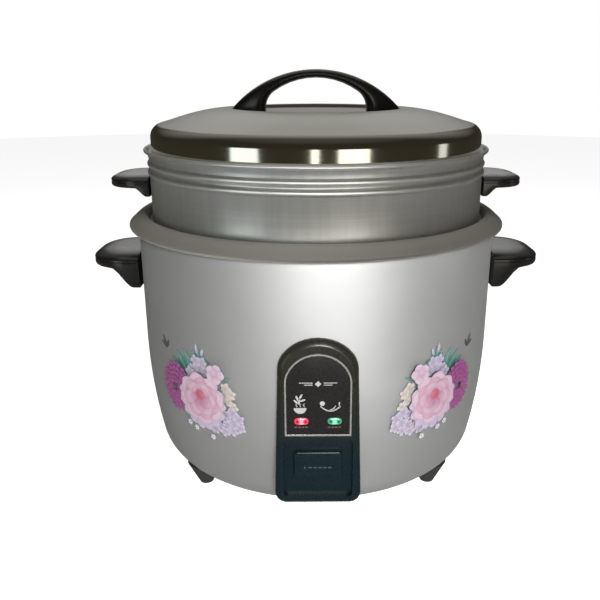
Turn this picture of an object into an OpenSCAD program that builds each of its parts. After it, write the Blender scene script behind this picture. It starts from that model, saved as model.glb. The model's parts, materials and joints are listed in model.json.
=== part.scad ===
// Large drum rice cooker with a lift-out pot, a steamer pan and a domed lid.
// Millimetres. +Z is up, the control panel faces -Y, the origin is on the
// standing surface under the drum's axis.

/* [Drum] */
// Outside radius of the painted drum
drum_r = 172; // [150:1:210]
// Height of the drum from its underside to its rolled top edge
drum_h = 231; // [200:1:290]
// Sheet thickness of the drum
drum_t = 0.8; // [0.6:0.1:1.5]
// Large radius that draws the lower wall in
taper_r = 497; // [400:1:600]
// Angle turned on the large radius
taper_a = 11.3; // [8:0.1:13]
// Radius of the bottom corner
corner_r = 31; // [25:1:40]
// Angle at which the corner tightens
corner_a = 47; // [40:1:55]
// Tight radius that ends the corner
edge_r = 10; // [8:0.5:14]
// Radius of the roll at the top edge
roll_r = 4; // [3:0.5:5]
// Inside radius of the drum's in-turned bottom lip
lip_r = 112; // [100:1:116]
// Radius of the base plate
base_r = 122; // [118:1:123]
// Thickness of the base plate
base_t = 1.2; // [1:0.1:2]

/* [Feet] */
// Height of the feet
foot_h = 17.5; // [12:0.5:30]
// Radius of a foot where it stands
foot_tip_r = 6.5; // [5.5:0.5:9]
// Radius of a foot at the drum's underside
foot_top_r = 15; // [12:0.5:16]
// Distance of the feet from the axis
foot_pcd_r = 141; // [139:1:143]
// Angle of the front feet from straight ahead
foot_az = 50; // [35:1:60]

/* [Pot] */
// Radius over the pot's rolled rim
rim_r = 180.5; // [158:0.5:220]
// Sheet thickness of the pot
pot_t = 2; // [1.5:0.1:3]
// Radial gap between the pot and the heat shield
pot_gap = 3; // [2:0.5:5]
// Radius of the pot's bottom corner
pot_corner_r = 28; // [20:1:40]
// Height of the flange's crest above the rolled rim's lower edge
crest_h = 12.5; // [9:0.5:16]

/* [Steamer] */
// Radial gap between the steamer's lower wall and the pot
steamer_gap = 1; // [0.5:0.1:2]
// Sheet thickness of the steamer
steamer_t = 1.2; // [0.8:0.1:2]
// Step by which the visible wall is wider than the wall inside the pot
steamer_step = 4; // [3:0.5:5]
// Height of the visible wall above the pot's seat
steamer_h = 66; // [50:1:90]
// Depth of the pan below the pot's seat
steamer_depth = 38; // [25:1:60]
// Distance of the lower ridge below the rim
ridge_low = 21.5; // [19:0.5:24]
// Distance of the upper ridge below the rim
ridge_high = 13.5; // [11:0.5:16]
// Radius of the steam holes
steam_hole_r = 3; // [2:0.5:4]

/* [Lid] */
// Height of the dome from the rim seat to the flat centre
lid_h = 36.6; // [30:0.1:50]
// Sheet thickness of the lid
lid_t = 1.2; // [0.8:0.1:2]
// Radius of the flat centre
lid_flat_r = 81; // [80:1:95]
// Height of the upright skirt
skirt_h = 12; // [8:1:16]
// Radius of the shoulder above the skirt
shoulder_r = 12; // [8:1:14]
// Half of the lid handle's length
grip_half = 79; // [60:1:79]
// Height of the lid handle
grip_h = 34.8; // [28:0.1:45]
// Depth of the lid handle from front to back
grip_d = 28; // [20:1:40]
// Half width of the finger opening under the lid handle
grip_gap_half = 47.5; // [35:0.5:50]
// Thickness of the lid handle at its crown
grip_t = 7.6; // [6:0.1:10]

/* [Side handles] */
// Reach of each drum handle from the drum's wall
ear_reach = 47; // [40:0.5:70]
// Width of each drum handle
ear_w = 90; // [70:1:110]
// Corner radius of each drum handle in plan
ear_corner_r = 34; // [15:1:34]
// Thickness of a drum handle's lip
ear_lip = 15; // [12:0.5:20]
// Height of a drum handle where it meets the drum
ear_root = 34; // [28:1:45]
// Distance of the drum handles' tops below the drum's top edge
ear_drop = 31.5; // [25:0.5:60]
// Reach of each steamer handle from the steamer's wall
lug_reach = 38.5; // [30:0.5:60]
// Width of each steamer handle
lug_w = 74; // [60:1:90]
// Corner radius of each steamer handle in plan
lug_corner_r = 28; // [15:1:28]
// Thickness of a steamer handle's lip
lug_lip = 12; // [10:0.5:16]
// Height of a steamer handle where it meets the wall
lug_root = 20; // [16:0.5:24]
// Distance of the steamer handles' tops below the steamer's rim
lug_drop = 24.8; // [24.6:0.1:30]

/* [Control panel] */
// Distance by which the panel's face stands out from the drum's radius
panel_out = 6; // [5.5:0.5:8]
// Half width of the panel where its arch starts
panel_half_top = 33; // [31:0.5:38]
// Half width of the panel at its foot
panel_half_low = 36.5; // [34:0.5:42]
// Height of the panel's foot above the drum's underside
panel_low = 13; // [13:0.5:18]
// Height of the panel
panel_h = 150.5; // [140:1:160]
// Height of the panel's arch
panel_arch = 28; // [24:0.5:28]
// Wall of the panel moulding
panel_wall = 2.4; // [2:0.1:3]
// Width of the bevel round the panel's face
panel_bevel = 5; // [3:0.5:6]
// Half width of the label plate
label_half = 26; // [24:0.5:27]
// Height of the label plate
label_h = 70; // [64:1:72]
// Distance of the label's lower edge above the panel's foot
label_up = 67.5; // [63:0.5:68]
// Width of a lamp lens
lens_w = 12; // [10:0.5:14]
// Height of a lamp lens
lens_h = 6.4; // [5:0.2:8]
// Half distance between the lamp lenses
lens_half_gap = 13.6; // [11:0.1:15]
// Distance of the lenses above the label's lower edge
lens_up = 12; // [10:0.5:16]

/* [Cooking lever] */
// Width of the lever's paddle
paddle_w = 40; // [34:1:46]
// Height of the paddle
paddle_h = 23.4; // [20:0.1:28]
// Height of the paddle's lower edge above the panel's foot
paddle_up = 26.8; // [21:0.1:28]
// Distance of the lever's pivot from the axis
pivot_y = 75; // [65:1:85]
// Height of the lever's pivot above the drum's underside
pivot_up = 34.5; // [32:0.5:37]
// Radius of the pivot pin
pin_r = 2; // [1.5:0.1:2.5]
// Width of the steel arm
arm_w = 14; // [12:1:16]
// Thickness of the steel arm
arm_t = 2; // [1.5:0.1:2.5]
// Travel of the lever in degrees
lever_a = 4.5; // [3:0.1:5]

/* [Heater] */
// Height of the heat shield's floor above the drum's underside
floor_up = 48.5; // [46:0.5:52]
// Sheet thickness of the heat shield
shield_t = 1; // [0.8:0.1:1.5]
// Radius of the heating plate
plate_r = 118; // [100:1:122]
// Thickness of the heating plate
plate_t = 12; // [10:1:16]
// Height of the heating plate's top above the shield's floor
plate_up = 34; // [33:0.5:38]
// Radius of the heating element's ring
element_ring_r = 85; // [70:1:90]
// Radius of the element's tube
element_r = 5; // [4:0.5:6]
// Radius of the sensor's bore in the plate
sensor_bore_r = 21; // [20:0.5:24]
// Radius of the sensor cap
cap_r = 16; // [15:0.5:17]
// Travel of the sensor cap
cap_travel = 3; // [2:0.5:3.5]

/* [Clearances] */
// Running clearance between a pin and its bore
run_gap = 0.05; // [0.02:0.01:0.1]
// Clearance between faces on pieces that move apart
face_gap = 0.3; // [0.2:0.1:0.5]
// Clearance round a piece that sits in a cut-out
fit_gap = 0.3; // [0.1:0.1:0.5]

/* [Hidden] */
$fn = 96;

// Heights above the standing surface
under_z = foot_h;
top_z = foot_h + drum_h;
// Where the drum's upright wall ends and its draw-in starts
edge_rise = edge_r * (1 - sin(corner_a));
corner_rise = corner_r * (sin(corner_a) - sin(taper_a));
taper_rise = taper_r * sin(taper_a);
straight_z = under_z + edge_rise + corner_rise + taper_rise;

// Heat shield, heating plate and pot stand on one another
floor_z = under_z + floor_up;
plate_top_z = floor_z + plate_up;
pot_low_z = plate_top_z;
rim_low_z = top_z - 5.5;
crest_z = rim_low_z + crest_h;
seat_z = rim_low_z + 5.5;
// The crest lies just outside the drum's rolled edge, the seat inside it
crest_r = drum_r - 6.5;
shield_in_r = drum_r - 11.5;
pot_out_r = shield_in_r - pot_gap;
pot_in_r = pot_out_r - pot_t;
seat_r = crest_r - 4;

// Steamer
steamer_low_r = pot_in_r - steamer_gap;
steamer_r = steamer_low_r + steamer_step;
steamer_rim_z = seat_z + steamer_h;
steamer_low_z = seat_z - steamer_depth;
rim_flare = 3.5;
bead_r = 1.6;
lid_seat_z = steamer_rim_z - 2.3;

// Lid
lid_r = steamer_r - 2.6;
lid_hole_r = lid_r - lid_t + face_gap;
lid_top_z = lid_seat_z + lid_h;
grip_z = lid_top_z;

// Handles
ear_top_z = top_z - ear_drop;
lug_top_z = steamer_rim_z - lug_drop;

// Control panel
face_y = -(drum_r + panel_out);
panel_z = under_z + panel_low;
arch_z = panel_z + panel_h - panel_arch;
label_z = panel_z + label_up;
lens_z = label_z + lens_up;
label_arch = 24;
label_t = 1.2;
label_sink = 0.8;
frame_w = 1.4;
recess_half = 29;
recess_low_z = panel_z + 7.5;
recess_top_z = label_z - 4.5;
recess_deep = 5;

// Lever
pivot_z = under_z + pivot_up;
paddle_z = panel_z + paddle_up;
paddle_t = 3;
paddle_y = face_y + 0.6;
web_w = 6;
rod_rise = pivot_y * sin(lever_a);

// Sensor
cap_top_z = plate_top_z - face_gap;
cap_skirt = 15.5;
cap_t = 1.4;
sleeve_r = 14;
sleeve_t = 1.6;
sleeve_flange_t = 2;
sleeve_top_z = cap_top_z - cap_t - cap_travel - 1.2;

// Points along an arc
function arc(c, r, a0, a1, n = 8) = [
    for (i = [0:n]) let(a = a0 + (a1 - a0) * i / n)
        [c[0] + r * cos(a), c[1] + r * sin(a)]
];

// Height of a flattened arch's crown radius from its half width, rise and spring radius
function crown(half, rise, spring) =
    ((half - spring) * (half - spring) + rise * rise - spring * spring)
    / (2 * (rise - spring));

// The drum's wall line, t inside its painted face, from the top down to the lip
function drum_line(t) =
    let(c1 = [drum_r - taper_r, straight_z],
        c2 = c1 + (taper_r - corner_r) * [cos(taper_a), -sin(taper_a)],
        c3 = c2 + (corner_r - edge_r) * [cos(corner_a), -sin(corner_a)])
    concat(arc(c1, taper_r - t, 0, -taper_a, 6),
           arc(c2, corner_r - t, -taper_a, -corner_a, 5),
           arc(c3, edge_r - t, -corner_a, -90, 4));

function reversed(p) = [for (i = [len(p) - 1:-1:0]) p[i]];
function unit(v) = v / norm(v);
function tangent(p, i) = unit(p[min(i + 1, len(p) - 1)] - p[max(i - 1, 0)]);

// A round tube swept along a path; ref is a direction that the path never takes
module tube(path, r, ref, sides = 8) {
    rings = [
        for (i = [0:len(path) - 1])
            let(t = tangent(path, i), u = unit(cross(t, ref)), v = cross(t, u))
            for (k = [0:sides - 1])
                path[i] + r * (cos(360 * k / sides) * u + sin(360 * k / sides) * v)
    ];
    last = (len(path) - 1) * sides;
    polyhedron(rings, concat(
        [[for (k = [0:sides - 1]) k]],
        [for (i = [0:len(path) - 2]) for (k = [0:sides - 1])
            [i * sides + k, i * sides + sides + k,
             i * sides + sides + (k + 1) % sides, i * sides + (k + 1) % sides]],
        [[for (k = [sides - 1:-1:0]) last + k]]
    ), convexity = 6);
}

// A coil spring standing on z0
module coil(r, wire, z0, z1, turns) {
    steps = 14 * turns;
    tube([for (i = [0:steps]) let(a = 360 * turns * i / steps)
            [r * cos(a), r * sin(a), z0 + wire + (z1 - z0 - 2 * wire) * i / steps]],
        wire, [0, 0, 1], 6);
}

// Copies at one radius and a list of angles, measured from straight ahead
module around(r, angles) {
    for (a = angles) {
        rotate([0, 0, a]) translate([0, -r, 0]) children();
    }
}

// The full drum form, used to trim what sits against it
module drum_form(t = 0) {
    rotate_extrude() polygon(concat(
        [[0, top_z]], [[drum_r - t, top_z]], drum_line(t), [[0, under_z + t]]));
}

// A flattened arch's line from its left foot over the crown to its right foot
function arch_line(half, rise, spring, z) =
    let(big = crown(half, rise, spring), lean = atan2(half - spring, big - rise))
    concat(arc([spring - half, z], spring, 180, 90 + lean, 5),
           arc([0, z + rise - big], big, 90 + lean, 90 - lean, 10),
           arc([half - spring, z], spring, 90 - lean, 0, 5));

// A flattened arch standing on the x axis
module arch_2d(half, rise, spring) {
    big = crown(half, rise, spring);
    lean = atan2(half - spring, big - rise);
    union() {
        for (s = [-1, 1]) {
            intersection() {
                translate([s * (half - spring), 0]) circle(spring);
                translate([-half, 0]) square([2 * half, rise]);
            }
        }
        intersection() {
            translate([0, rise - big]) circle(big);
            polygon([[0, rise - big],
                     [-3 * big * sin(lean), rise - big + 3 * big * cos(lean)],
                     [3 * big * sin(lean), rise - big + 3 * big * cos(lean)]]);
            translate([-half, 0]) square([2 * half, rise + 1]);
        }
        polygon([[-(half - spring), 0], [half - spring, 0],
                 [(half - spring) + spring * sin(lean), spring * cos(lean)],
                 [-(half - spring) - spring * sin(lean), spring * cos(lean)]]);
    }
}

// The panel's outline in X and Z, drawn in by inset
module panel_2d(inset = 0) {
    corner = 10 - inset;
    low = panel_z + inset;
    half_low = panel_half_low - inset;
    half_top = panel_half_top - inset;
    union() {
        polygon([[-half_low + corner, low], [half_low - corner, low],
                 [half_low, low + corner], [half_top, arch_z],
                 [-half_top, arch_z], [-half_low, low + corner]]);
        for (s = [-1, 1]) {
            intersection() {
                translate([s * (half_low - corner), low + corner]) circle(corner);
                translate([-half_low, low]) square([2 * half_low, corner]);
            }
        }
        translate([0, arch_z]) arch_2d(half_top, panel_arch - inset, 23 - inset);
    }
}

// The label's outline, grown by more
module label_2d(more = 0) {
    half = label_half + more;
    translate([-half, label_z - more]) square([2 * half, label_h - label_arch + more]);
    translate([0, label_z + label_h - label_arch])
        arch_2d(half, label_arch + more, 20 + more);
}

// Extrudes an X and Z outline from y0 to y1
module along_y(y0, y1) {
    translate([0, y1, 0]) rotate([90, 0, 0]) linear_extrude(y1 - y0) children();
}

// Extrudes an X and Y outline between two heights
module along_z(z0, z1) {
    translate([0, 0, z0]) linear_extrude(z1 - z0) children();
}

module ring(r0, r1, z0, z1) {
    difference() {
        translate([0, 0, z0]) cylinder(r = r1, h = z1 - z0);
        translate([0, 0, z0 - 1]) cylinder(r = r0, h = z1 - z0 + 2);
    }
}

// ---- drum ----

screw_r = 2;
ear_screw_y = 22;
ear_screw_z = ear_top_z - 17;
housing_screw_at = [[-20, arch_z - 2], [20, arch_z - 2], [-31.5, panel_z + 38.5], [31.5, panel_z + 38.5]];
inlet_z = under_z + 29;
inlet_half = 16;
inlet_tall = 11.5;

module outer_shell() {
    color("silver") difference() {
        rotate_extrude() polygon(concat(
            arc([drum_r - roll_r, top_z - roll_r], roll_r, 90, 0, 5),
            drum_line(0),
            [[lip_r, under_z], [lip_r, under_z + drum_t]],
            reversed(drum_line(drum_t)),
            arc([drum_r - roll_r, top_z - roll_r], roll_r - drum_t, 0, 90, 5),
            [[drum_r - roll_r - 2, top_z - drum_t], [drum_r - roll_r - 2, top_z]]));
        // window for the lamps
        translate([-22, -drum_r - 5, lens_z - 9]) cube([44, 12, 18]);
        // slot for the lever's arm and web
        translate([-arm_w / 2 - 3, -drum_r - 5, pivot_z - 15]) cube([arm_w + 6, 30, 30]);
        // opening for the power inlet
        translate([-inlet_half, drum_r - 15, inlet_z - inlet_tall])
            cube([2 * inlet_half, 25, 2 * inlet_tall]);
        for (s = [-1, 1]) {
            for (y = [-ear_screw_y, ear_screw_y]) {
                translate([s * (drum_r - 8), y, ear_screw_z]) rotate([0, s * 90, 0])
                    cylinder(r = screw_r + run_gap, h = 16);
            }
            translate([s * 24, drum_r - 12, inlet_z]) rotate([-90, 0, 0])
                cylinder(r = 1.6 + run_gap, h = 24);
        }
        for (p = housing_screw_at) {
            translate([p[0], -drum_r + 14, p[1]]) rotate([90, 0, 0])
                cylinder(r = 1.6 + run_gap, h = 24);
        }
        around(foot_pcd_r, foot_angles) translate([0, 0, under_z - 2])
            cylinder(r = screw_r + run_gap, h = 6);
        around(117, base_screw_angles) translate([0, 0, under_z - 2])
            cylinder(r = 1.6 + run_gap, h = 6);
    }
}

foot_angles = [foot_az, -foot_az, 180 - foot_az, foot_az - 180];
base_screw_angles = [20, 110, 200, 290];
post_angles = [0, 120, 240];
post_at_r = 104;
terminal_angles = [150, 210];
terminal_at_r = element_ring_r;
fuse_at = [62, -20];
keep_warm_at = [-60, 34];

module heat_shield() {
    out_r = shield_in_r + shield_t;
    wall_top = top_z - 7;
    bend = 12;
    color("gainsboro") difference() {
        rotate_extrude() polygon(concat(
            [[drum_r - drum_t, wall_top], [drum_r - drum_t, wall_top - shield_t]],
            [[out_r, wall_top - shield_t]],
            arc([shield_in_r - bend, floor_z + bend + shield_t], bend + shield_t, 0, -90, 5),
            [[cap_r + 1, floor_z], [cap_r + 1, floor_z + shield_t]],
            reversed(arc([shield_in_r - bend, floor_z + bend + shield_t], bend, 0, -90, 5)),
            [[shield_in_r, wall_top]]));
        around(post_at_r, post_angles) translate([0, 0, floor_z - 2])
            cylinder(r = screw_r + run_gap, h = 6);
        around(terminal_at_r, terminal_angles) translate([0, 0, floor_z - 2])
            cylinder(r = 5, h = 6);
    }
}

module base_plate() {
    color("darkgray") difference() {
        translate([0, 0, under_z - base_t]) cylinder(r = base_r, h = base_t);
        // louvre slots in two rings
        for (r = [52, 92]) {
            for (a = [0:30:330]) {
                rotate([0, 0, a + 15]) translate([r - 9, -1.5, under_z - 5]) cube([18, 3, 10]);
            }
        }
        around(117, base_screw_angles) translate([0, 0, under_z - 5])
            cylinder(r = 1.6 + run_gap, h = 10);
        // holes for the bracket tabs' rivets
        for (x = [-17, 17]) {
            translate([x, -pivot_y, under_z - 5]) cylinder(r = 1.5, h = 10);
            translate([x, -switch_y, under_z - 5]) cylinder(r = 1.5, h = 10);
        }
    }
}

module base_plate_screws() {
    color("lightgray") around(117, base_screw_angles) {
        translate([0, 0, under_z - base_t - 2]) cylinder(r = 3.2, h = 2);
        translate([0, 0, under_z - base_t]) cylinder(r = 1.6, h = 8);
    }
}

module feet() {
    flare = (foot_top_r - foot_tip_r) / foot_h;
    over = 5;
    color("black") difference() {
        around(foot_pcd_r, foot_angles) difference() {
            cylinder(r1 = foot_tip_r, r2 = foot_top_r + flare * over, h = foot_h + over);
            translate([0, 0, -1]) cylinder(r = 4.2, h = 8);
            translate([0, 0, -1]) cylinder(r = screw_r + run_gap, h = foot_h + over + 2);
        }
        drum_form();
    }
}

module foot_screws() {
    color("lightgray") around(foot_pcd_r, foot_angles) {
        translate([0, 0, 4.4]) cylinder(r = 3.8, h = 2.6);
        translate([0, 0, 7]) cylinder(r = screw_r, h = foot_h + 1);
        translate([0, 0, foot_h + drum_t]) cylinder(r = 4, h = 3.2, $fn = 6);
    }
}

// A rounded ear seen from above, its root at x = 0
module ear_2d(reach, w, corner) {
    union() {
        translate([-20, -w / 2]) square([reach - corner + 20, w]);
        translate([-20, -w / 2 + corner]) square([reach + 20, w - 2 * corner]);
        for (s = [-1, 1]) {
            translate([reach - corner, s * (w / 2 - corner)]) circle(corner);
        }
    }
}

// A hooded ear: a lip to lift by, deeper at its root, hollow underneath
module ear(wall_r, top, reach, w, corner, lip, root, lip_run, root_run, hollow_at) {
    tip = wall_r + reach;
    dome = 9;
    difference() {
        intersection() {
            translate([wall_r, 0, 0]) along_z(top - root, top) ear_2d(reach, w, corner);
            along_y(-w, w) polygon(concat(
                [[wall_r - 20, top - root], [wall_r + root_run, top - root]],
                [[tip - lip_run, top - lip], [tip - 3, top - lip], [tip, top - lip + 3]],
                arc([tip - dome, top - dome], dome, 0, 90, 5),
                [[wall_r - 20, top]]));
        }
        // finger hollow
        translate([wall_r, 0, 0]) along_z(top - root - 1, top - 3.5) intersection() {
            ear_2d(reach - 3.5, w - 7, corner - 3.5);
            translate([hollow_at, -w]) square([reach, 2 * w]);
        }
        cylinder(r = wall_r, h = 2 * top);
    }
}

module side_handle(s) {
    rotate([0, 0, s > 0 ? 0 : 180]) difference() {
        ear(drum_r, ear_top_z, ear_reach, ear_w, ear_corner_r, ear_lip, ear_root, 24, 4, 14);
        for (y = [-ear_screw_y, ear_screw_y]) {
            translate([drum_r - 10, y, ear_screw_z]) rotate([0, 90, 0])
                cylinder(r = screw_r + run_gap, h = 21);
        }
    }
}

module side_handle_left() {
    color("dimgray") side_handle(-1);
}

module side_handle_right() {
    color("dimgray") side_handle(1);
}

module side_handle_screws() {
    head_x = sqrt(pow(drum_r - drum_t, 2) - pow(ear_screw_y + 4, 2));
    color("lightgray") for (s = [-1, 1]) {
        for (y = [-ear_screw_y, ear_screw_y]) {
            translate([s * (head_x - 3), y, ear_screw_z]) rotate([0, s * 90, 0]) {
                cylinder(r = 4, h = 2.8);
                cylinder(r = screw_r, h = 13);
            }
        }
    }
}

// ---- control panel ----

module control_housing() {
    back_y = -drum_r + 15;
    cavity_half = panel_half_top - panel_wall - 6;
    color([0.12, 0.13, 0.13]) difference() {
        union() {
            along_y(face_y + panel_bevel / 3, back_y) panel_2d();
            // the softened edge, as one narrow step
            along_y(face_y, face_y + panel_bevel / 2 + 1) panel_2d(panel_bevel / 2);
        }
        drum_form();
        // cavity behind the label
        translate([-cavity_half, face_y + panel_wall + label_sink, label_z + 1])
            cube([2 * cavity_half, 30, arch_z + panel_arch / 2 - label_z]);
        // cavity behind the recess
        intersection() {
            along_y(face_y + recess_deep + panel_wall, back_y + 1) panel_2d(panel_wall);
            translate([-50, face_y, 0]) cube([100, 40, label_z - 2]);
        }
        // recess that the paddle moves in
        translate([-recess_half, face_y - 1, recess_low_z])
            cube([2 * recess_half, recess_deep + 1, recess_top_z - recess_low_z]);
        // slot for the paddle's web
        translate([-web_w / 2 - 1.5, face_y, pivot_z - 12])
            cube([web_w + 3, 20, paddle_h + 14]);
        // seat of the label
        along_y(face_y - 1, face_y + label_sink) label_2d(frame_w + fit_gap);
        for (s = [-1, 1]) {
            translate([s * lens_half_gap - lens_w / 2 - fit_gap, face_y - 1, lens_z - lens_h / 2 - fit_gap])
                cube([lens_w + 2 * fit_gap, 12, lens_h + 2 * fit_gap]);
        }
    }
    // bosses for the screws
    color([0.12, 0.13, 0.13]) for (p = housing_screw_at) {
        upper = p[1] > label_z;
        boss_y = upper ? face_y + panel_wall + label_sink : face_y + recess_deep + panel_wall;
        difference() {
            translate([p[0], back_y, p[1]]) rotate([90, 0, 0])
                cylinder(r = 3.6, h = back_y - boss_y);
            translate([p[0], back_y + 1, p[1]]) rotate([90, 0, 0])
                cylinder(r = 1.6 + run_gap, h = back_y - boss_y);
            drum_form();
        }
    }
}

module housing_screws() {
    color("lightgray") for (p = housing_screw_at) {
        wall = p[1] > label_z ? drum_r : drum_r - 5;
        head_y = -sqrt(pow(wall - drum_t, 2) - pow(abs(p[0]) + 3.2, 2)) + 2.4;
        translate([p[0], head_y, p[1]]) rotate([90, 0, 0]) {
            cylinder(r = 3.2, h = 2);
            cylinder(r = 1.6, h = 6.2);
        }
    }
}

module label_plate() {
    color([0.15, 0.14, 0.14]) difference() {
        along_y(face_y + label_sink - label_t, face_y + label_sink) label_2d();
        for (s = [-1, 1]) {
            translate([s * lens_half_gap - lens_w / 2 - fit_gap, face_y - 3, lens_z - lens_h / 2 - fit_gap])
                cube([lens_w + 2 * fit_gap, 12, lens_h + 2 * fit_gap]);
        }
    }
}

module label_frame() {
    color("silver") difference() {
        along_y(face_y + label_sink - label_t - 0.4, face_y + label_sink) label_2d(frame_w);
        along_y(face_y - 5, face_y + 5) label_2d();
    }
}

module lens(s) {
    flange = 1.5;
    inner_y = face_y + panel_wall + label_sink;
    translate([s * lens_half_gap - lens_w / 2, face_y + label_sink - label_t - 0.6, lens_z - lens_h / 2])
        cube([lens_w, panel_wall + label_t + 0.6, lens_h]);
    translate([s * lens_half_gap - lens_w / 2 - flange, inner_y, lens_z - lens_h / 2 - flange])
        cube([lens_w + 2 * flange, 1.4, lens_h + 2 * flange]);
}

module cook_lens() {
    color("red") lens(-1);
}

module warm_lens() {
    color("mediumseagreen") lens(1);
}

lamp_y = face_y + panel_wall + label_sink + 1.4 + 3.2;

module lamp_holder() {
    color("ivory") difference() {
        translate([-20, lamp_y - 3.2, lens_z - 5]) cube([40, 6.4, 10]);
        for (s = [-1, 1]) {
            translate([s * lens_half_gap - 6, lamp_y - 4, lens_z - 3.2]) cube([12, 6, 6.4]);
        }
    }
}

module neon_lamps() {
    color("orange") for (s = [-1, 1]) {
        translate([s * lens_half_gap - 5, lamp_y - 0.4, lens_z]) rotate([0, 90, 0])
            cylinder(r = 2.4, h = 10);
    }
}

// ---- heater ----

module heating_plate() {
    element_z = plate_top_z - plate_t - 2;
    color("lightgray") difference() {
        union() {
            translate([0, 0, plate_top_z - plate_t]) cylinder(r = plate_r, h = plate_t - 2);
            translate([0, 0, plate_top_z - 2]) cylinder(r1 = plate_r, r2 = plate_r - 2, h = 2);
            ring(element_ring_r - 9, element_ring_r + 9, element_z - 1, plate_top_z - plate_t + 1);
        }
        translate([0, 0, floor_z]) cylinder(r = sensor_bore_r, h = plate_up + 5);
        rotate_extrude() translate([element_ring_r, element_z]) circle(element_r);
        around(post_at_r, post_angles) translate([0, 0, floor_z])
            cylinder(r = screw_r + run_gap, h = plate_up - 4);
        around(terminal_at_r, terminal_angles) translate([0, 0, floor_z])
            cylinder(r = 3, h = plate_up - plate_t - 2);
    }
}

module heating_element() {
    element_z = plate_top_z - plate_t - 2;
    color("dimgray") rotate_extrude() translate([element_ring_r, element_z]) circle(element_r);
}

module element_terminals() {
    low = floor_z - 12;
    top = plate_top_z - plate_t - 2 - element_r;
    color("goldenrod") around(terminal_at_r, terminal_angles) {
        translate([0, 0, low]) cylinder(r = 2, h = top - low);
        translate([-3, -0.5, low - 6]) cube([6, 1, 6]);
    }
}

module terminal_bushes() {
    color("white") around(terminal_at_r, terminal_angles) difference() {
        union() {
            translate([0, 0, floor_z - 6]) cylinder(r = 5 - run_gap, h = 12);
            translate([0, 0, floor_z + shield_t]) cylinder(r = 7, h = 3);
        }
        translate([0, 0, floor_z - 8]) cylinder(r = 2 + run_gap, h = 20);
    }
}

module plate_posts() {
    color("gray") around(post_at_r, post_angles) difference() {
        translate([0, 0, floor_z + shield_t])
            cylinder(r = 5, h = plate_up - plate_t - shield_t);
        translate([0, 0, floor_z]) cylinder(r = screw_r + run_gap, h = plate_up);
    }
}

module plate_screws() {
    color("lightgray") around(post_at_r, post_angles) {
        translate([0, 0, floor_z - 3]) cylinder(r = 3.8, h = 3);
        translate([0, 0, floor_z]) cylinder(r = screw_r, h = plate_up - 5);
    }
}

module sensor_sleeve() {
    color("gainsboro") {
        ring(sleeve_r - sleeve_t, sleeve_r, floor_z - 6, sleeve_top_z);
        ring(sleeve_r, 24, floor_z + shield_t, floor_z + shield_t + sleeve_flange_t);
        // bottom guide of the rod
        ring(2.5 + run_gap, sleeve_r - sleeve_t, floor_z - 6, floor_z - 4);
    }
}

module sensor_cap() {
    bore = sleeve_r + face_gap;
    ferrite_low = magnet_top_z() + rod_rise + cap_travel + 0.4;
    color("silver") {
        translate([0, 0, cap_top_z - cap_t]) cylinder(r = cap_r, h = cap_t);
        ring(bore, cap_r, cap_top_z - cap_skirt, cap_top_z - cap_t);
        // collar that the spring pushes on
        ring(bore, cap_r + 2.4, cap_top_z - cap_skirt, cap_top_z - cap_skirt + 1.2);
        translate([0, 0, ferrite_low]) cylinder(r = 8, h = cap_top_z - cap_t - ferrite_low);
    }
}

function magnet_top_z() = cap_top_z - cap_t - 5 - cap_travel - rod_rise;

module sensor_spring() {
    color("slategray") coil(cap_r + 1.1, 0.8,
        floor_z + shield_t + sleeve_flange_t, cap_top_z - cap_skirt, 4);
}

module magnet_rod() {
    rod_low = pivot_z + arm_t / 2 + face_gap;
    color("dimgray") {
        translate([0, 0, rod_low]) cylinder(r = 2.5, h = magnet_top_z() - 6 - rod_low);
        translate([0, 0, magnet_top_z() - 6]) cylinder(r = 9, h = 6);
    }
}

// ---- cooking lever ----

switch_y = 96;
barrel_r = 4;

module lever_paddle() {
    web_low = pivot_z - 2.5;
    web_top = pivot_z + 12;
    color([0.1, 0.14, 0.16]) difference() {
        union() {
            translate([-paddle_w / 2, paddle_y, paddle_z]) cube([paddle_w, paddle_t, paddle_h]);
            translate([-web_w / 2, paddle_y + paddle_t, web_low])
                cube([web_w, 12, web_top - web_low]);
        }
        // slot that grips the arm
        translate([-web_w, paddle_y + 6, pivot_z - arm_t / 2]) cube([2 * web_w, 20, arm_t]);
    }
}

module lever_arm() {
    front_y = paddle_y + 6;
    color("lightsteelblue") difference() {
        union() {
            translate([-arm_w / 2, front_y + 9, pivot_z - arm_t / 2])
                cube([arm_w, 8 - front_y - 9, arm_t]);
            translate([-web_w / 2, front_y, pivot_z - arm_t / 2]) cube([web_w, 10, arm_t]);
            translate([-arm_w / 2 - 2, -pivot_y, pivot_z]) rotate([0, 90, 0])
                cylinder(r = barrel_r, h = arm_w + 4);
        }
        translate([-20, -pivot_y, pivot_z]) rotate([0, 90, 0])
            cylinder(r = pin_r + run_gap, h = 40);
        // lightening holes
        for (y = [-52, -36, -20]) {
            translate([0, y, pivot_z - 5]) cylinder(r = 3, h = 10);
        }
    }
}

// An upright cheek with a tab at its foot
module cheek(s, y, wide, tall, hole_z, hole_r) {
    x = s > 0 ? wide : -wide - 1.5;
    difference() {
        union() {
            translate([x, y - 7, under_z]) cube([1.5, 14, tall]);
            translate([s > 0 ? wide : -wide - 10, y - 7, under_z]) cube([10, 14, 1.5]);
        }
        translate([x - 5, y, hole_z]) rotate([0, 90, 0]) cylinder(r = hole_r, h = 12);
        translate([s * 17, y, under_z - 1]) cylinder(r = 1.5, h = 5);
    }
}

module lever_bracket() {
    color("lightslategray") for (s = [-1, 1]) {
        cheek(s, -pivot_y, arm_w / 2 + 5, pivot_up + 6, pivot_z, pin_r);
    }
}

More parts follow.
